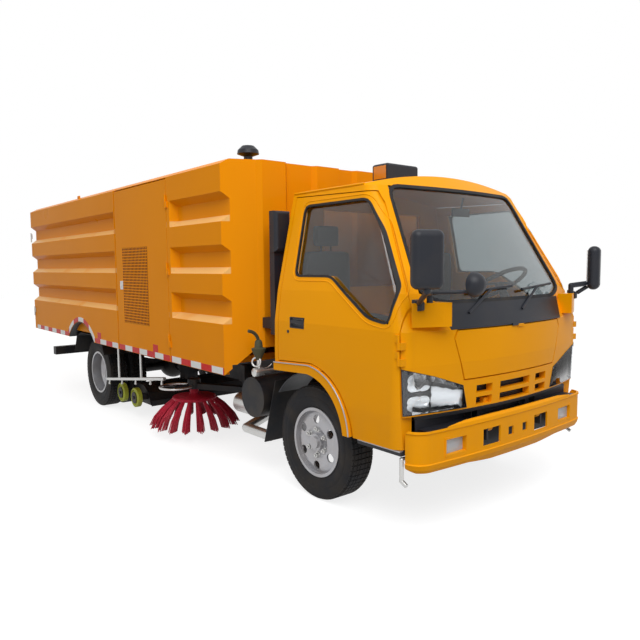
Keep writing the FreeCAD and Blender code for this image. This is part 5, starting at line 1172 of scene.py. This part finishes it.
catches = joined("gate_catches", [part for z in (1.02, 1.98) for part in gate_catch("gate_catch", z)])
both_sides(catches, bright_steel, ("rear_gate", "rear_gate"), "bright_steel")
lug = soften(block("roof_lug", at(-3.860, 1.045, 2.318), at(-3.800, 1.060, 2.352)), 0.004, 3)
both_sides(lug, body_orange, ("tipping_hopper", "tipping_hopper"), "body_orange")

# %% [markdown]
# A side broom is a disc of plastic bristles set in clusters that splay outwards and rub
# the road. One bristle is a thin drum, tapered and bent outwards; a cluster is some two
# dozen of them with a little spread, and the cluster is copied round the disc. A fur of
# hair particles would be quicker, but an exported model can't carry it.

# %% Grow one bristle cluster
broom_x, broom_y = -2.030, 0.660
cluster_count, bristles_in_cluster, golden_angle = 18, 22, 2.39996


def bristle(name, root, tip, thick):
    """One bristle from the disc to the road, bowed outwards on its way."""
    strand = drum(name, (0.0, 0.0, 0.0), (0.0, 0.0, 1.0), 1.0, 5)
    edit(strand, lambda centre, normal: abs(normal.z) < 0.5)
    bpy.ops.mesh.subdivide(number_cuts=2)
    close_edit()
    run = Vector(tip) - Vector(root)
    across = run.cross(Vector((0.0, 0.0, 1.0))).normalized()
    other = run.cross(across).normalized()
    for corner in strand.data.vertices:
        share = corner.co.z
        bow = Vector((run.x, run.y, 0.0)) * 0.16 * math.sin(math.pi * share)
        wide = thick * (1.0 - 0.35 * share)
        corner.co = Vector(root) + run * share + bow + (across * corner.co.x + other * corner.co.y) * wide
    return strand


def make_cluster():
    """One bunch of bristles, spread evenly by turning each on by the golden angle."""
    centre = at(broom_x, broom_y, 0.0)
    strands = []
    for index in range(bristles_in_cluster):
        angle = golden_angle * index
        far = math.sqrt((index + 0.5) / bristles_in_cluster)
        side, out = math.cos(angle) * far, math.sin(angle) * far
        root = centre + Vector((0.176 + 0.014 * out, 0.011 * side, 0.345))
        tip = centre + Vector((0.372 + 0.048 * out, 0.036 * side, 0.093 + 0.016 * abs(side)))
        strands.append(bristle("bristles", root, tip, 0.0062))
    return joined("bristles", strands)


brush = ring_of(make_cluster(), "broom_bristles", at(broom_x, broom_y, 0.0), "Z", cluster_count)
print("bristles", len(brush.data.polygons), "faces")

# %% [markdown]
# The bristles are held in a moulded disc that bolts to the motor's hub. It is a body of
# revolution, so its section is a list of radii and heights that is spun round the upright
# axis. Above it runs a level guard ring of round bar.

# %% Broom disc and hub
def turned(name, section, centre, steps=48):
    """A solid turned about an upright axis from (radius, height) points."""
    loop = outline(name, [Vector(centre) + Vector((radius, 0.0, height)) for radius, height in section])
    return smooth(spun(loop, centre, (0.0, 0.0, 1.0), steps, 0.0003), 0.6)


disc_section = ((0.021, 0.330), (0.196, 0.330), (0.203, 0.336), (0.203, 0.352), (0.196, 0.360),
                (0.120, 0.362), (0.095, 0.372), (0.050, 0.376), (0.042, 0.386), (0.042, 0.427), (0.021, 0.427))
broom_disc = turned("broom_disc", disc_section, at(broom_x, broom_y, 0.0))
broom = joined("side_broom", [brush, broom_disc])
brushes = ("brush_left", "brush_right")
both_sides(broom, red_bristle, brushes, "red_bristle", (("broom_left",), ("broom_right",)))


def steel_ring(name, centre, radius, tube):
    """A level ring of round bar."""
    clear_bench()
    bpy.ops.mesh.primitive_torus_add(location=centre, major_radius=radius, minor_radius=tube,
                                     major_segments=48, minor_segments=10)
    return smooth(settle(bpy.context.object, name), 0.9)


guard_ring = steel_ring("guard_ring", at(-2.060, 0.830, 0.462), 0.145, 0.0112)
both_sides(guard_ring, bright_steel, ("arm_left", "arm_right"), "bright_steel")

# %% [markdown]
# Small wheels carry the suction nozzle: bright yellow-green rubber on dark hubs. The
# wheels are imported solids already, so only the hub caps with their hexagon bolts and the
# rubber skirts that drag along the nozzle's edges are added.

# %% Nozzle wheel hubs and rubber skirts
caster_y = 0.850


def hub_cap(name, x):
    """The cap and bolt of a nozzle wheel."""
    spot = at(x, caster_y + 0.026, 0.225)
    cap = soften(drum(name, spot, spot + Vector((0.0, 0.006, 0.0)), 0.060, 28), 0.002)
    bolt = soften(drum(name, spot, spot + Vector((0.0, 0.017, 0.0)), 0.017, 6), 0.002)
    return joined(name, [cap, bolt])


for name, x, body in (("rear_caster_hub", -3.290, "casters_rear"),
                      ("front_caster_hub", -2.930, "casters_front")):
    both_sides(hub_cap(name, x), chassis_black, (body, body), "chassis_black")
skirt_half = 0.735
skirts = [block("nozzle_skirt", at(x0, -skirt_half, low), at(x1, skirt_half, 0.185))
          for x0, x1, low in ((-3.336, -3.329, 0.112), (-2.831, -2.824, 0.128))]
dress(soften(joined("nozzle_skirt", skirts), 0.001), black_rubber, "suction_nozzle", "black_rubber")
print("nozzle skirts", len(skirts))

# %% [markdown]
# Water keeps the dust down: each spray bar has five small nozzles pointing at the road. A
# nozzle is a stem with a six-sided tip, and its height follows the bar, which climbs
# towards the front.

# %% Spray nozzles along the bars
bar_y, bar_rear, bar_run, bar_low, bar_climb = 0.950, -3.450, 1.410, 0.360, 0.192


def spray_tip(name, x):
    """A small fan nozzle under the bar, which climbs forwards."""
    z = bar_low + bar_climb * (x - bar_rear) / bar_run
    stem = drum(name, at(x, bar_y, z - 0.010), at(x, bar_y, z - 0.040), 0.009, 10)
    tip = drum(name, at(x, bar_y, z - 0.036), at(x, bar_y, z - 0.056), 0.013, 6)
    return [soften(stem, 0.001), soften(tip, 0.002)]


tips = [part for x in (-3.40, -3.05, -2.70, -2.35, -2.10) for part in spray_tip("spray_tip", x)]
both_sides(joined("spray_tips", tips), bright_steel, ("root", "root"), "bright_steel")
print("spray tips on each bar", len(tips) // 2)

# %% [markdown]
# In front of the box, on its right, is the coupling that fills the water tank from a
# hydrant: a strainer with a bent spout on top, an elbow with its cap below, and a pipe
# that carries it from the chassis rail.

# %% Hydrant coupling
olive_plastic = dusty("olive_plastic", (0.055, 0.060, 0.035), 0.6, 0.3, specular_ior_level=0.2)
fill_x, fill_y, fill_z = -0.500, -0.945, 0.812
strainer_section = ((0.002, 0.900), (0.020, 0.900), (0.030, 0.928), (0.050, 0.968), (0.052, 0.982),
                    (0.030, 0.990), (0.026, 1.030), (0.016, 1.044), (0.002, 1.044))
strainer = turned("hydrant_strainer", strainer_section, at(fill_x, fill_y, 0.0), 32)
spout_line = arc_through((-0.945, 1.036), (-0.970, 1.084), (-1.028, 1.112), 8)
spout = bar_along("hydrant_strainer", [at(fill_x, y, z) for y, z in spout_line], 0.012)
dress(joined("hydrant_strainer", [strainer, spout]), olive_plastic, "root", "dark_trim")
clear_bench()
bpy.ops.mesh.primitive_torus_add(major_radius=0.032, minor_radius=0.007, major_segments=32, minor_segments=10,
                                 location=at(fill_x, -0.966, 0.886),
                                 rotation=(math.radians(80.0), 0.0, math.radians(35.0)))
collar = settle(bpy.context.object, "hydrant_elbow")
pipe_line = ((fill_y, 0.902), (fill_y, 0.846), (fill_y + 0.012, 0.820), (fill_y + 0.036, fill_z),
             (-0.410, fill_z))
elbow = bar_along("hydrant_elbow", [at(fill_x, y, z) for y, z in pipe_line], 0.016)
cap = soften(drum("hydrant_elbow", at(fill_x, -0.990, fill_z), at(fill_x, -0.915, fill_z), 0.032, 12), 0.003)
lever_line = arc_through((-0.950, 0.846), (-0.900, 0.836), (-0.850, 0.862), 6)
lever = bar_along("hydrant_elbow", [at(fill_x + 0.020, y, z) for y, z in lever_line], 0.005)
dress(smooth(joined("hydrant_elbow", [collar, elbow, cap, lever])), bright_steel, "root", "bright_steel")

# %% [markdown]
# The seats show through the glass. Each is a moulded base with a cushion, a back and a
# head rest, all covered in dark cloth. A cushion is a block that is subdivided, swelled
# and pulled in along its sewn edges, so it crowns in the middle and pinches at its seams.
# Cloth simulation would crumple it more, but a firm driving seat hardly creases.

# %% Upholster the seats
seat_in, seat_out = 0.370, 0.765


def pad(name, low, high, crown, roundness):
    """A firm cushion: rounded edges, crowned faces and a pinched seam round its middle."""
    cushion = block(name, low, high)
    edit(cushion)
    bpy.ops.mesh.subdivide(number_cuts=7)
    close_edit()
    low, high = Vector(low), Vector(high)
    middle, half = (low + high) / 2, (high - low) / 2
    thin = min(range(3), key=lambda axis: half[axis])
    for corner in cushion.data.vertices:
        place = corner.co - middle
        share = [place[axis] / half[axis] for axis in range(3)]
        wide = [axis for axis in range(3) if axis != thin]
        edge = max(abs(share[axis]) for axis in wide)
        swell = (1 - share[wide[0]] ** 2) * (1 - share[wide[1]] ** 2)
        place[thin] *= 1 - roundness * edge ** 6
        place[thin] += math.copysign(crown * swell, share[thin]) if abs(share[thin]) > 0.99 else 0.0
        for axis in wide:
            place[axis] *= 1 - 0.05 * (1 - share[thin] ** 2) * (abs(share[axis]) > 0.99)
            place[axis] *= 1 - 0.04 * (share[wide[0]] * share[wide[1]]) ** 4
        corner.co = middle + place
    finish_with(cushion, "SUBSURF", levels=1, render_levels=1)
    return smooth(cushion, 1.0)


def seat_pieces(stem, side):
    """Cushion, back and head rest of one seat."""
    y0, y1 = sorted((side * seat_in, side * seat_out))
    cushion = pad(stem + "_cushion", at(-0.195, y0 + 0.004, 1.132), at(0.284, y1 - 0.004, 1.238), 0.012, 0.30)
    back = pad(stem + "_back", at(-0.230, y0 + 0.004, 1.240), at(-0.130, y1 - 0.004, 1.668), 0.010, 0.34)
    head = pad(stem + "_head_rest", at(-0.225, y0 + 0.100, 1.700), at(-0.152, y1 - 0.100, 1.842), 0.006, 0.30)
    return cushion, back, head


for stem, side in (("driver_seat", 1), ("passenger_seat", -1)):
    for piece in seat_pieces(stem, side):
        dress(piece, seat_cloth, "cab", "seat_cloth", "seats")
    low_y, high_y = sorted((side * (seat_in + 0.035), side * (seat_out - 0.035)))
    pedestal = soften(block(stem + "_base", at(-0.195, low_y, 0.9505), at(0.250, high_y, 1.131)), 0.012, 3)
    post_ys = [(low_y + high_y) / 2 + shift for shift in (-0.045, 0.045)]
    posts = [drum(stem + "_post", at(-0.190, y, 1.655), at(-0.190, y, 1.715), 0.006, 10) for y in post_ys]
    dress(smooth(joined(stem + "_base", [pedestal] + posts)), black_plastic, "cab", "black_plastic")
print("two seats upholstered")
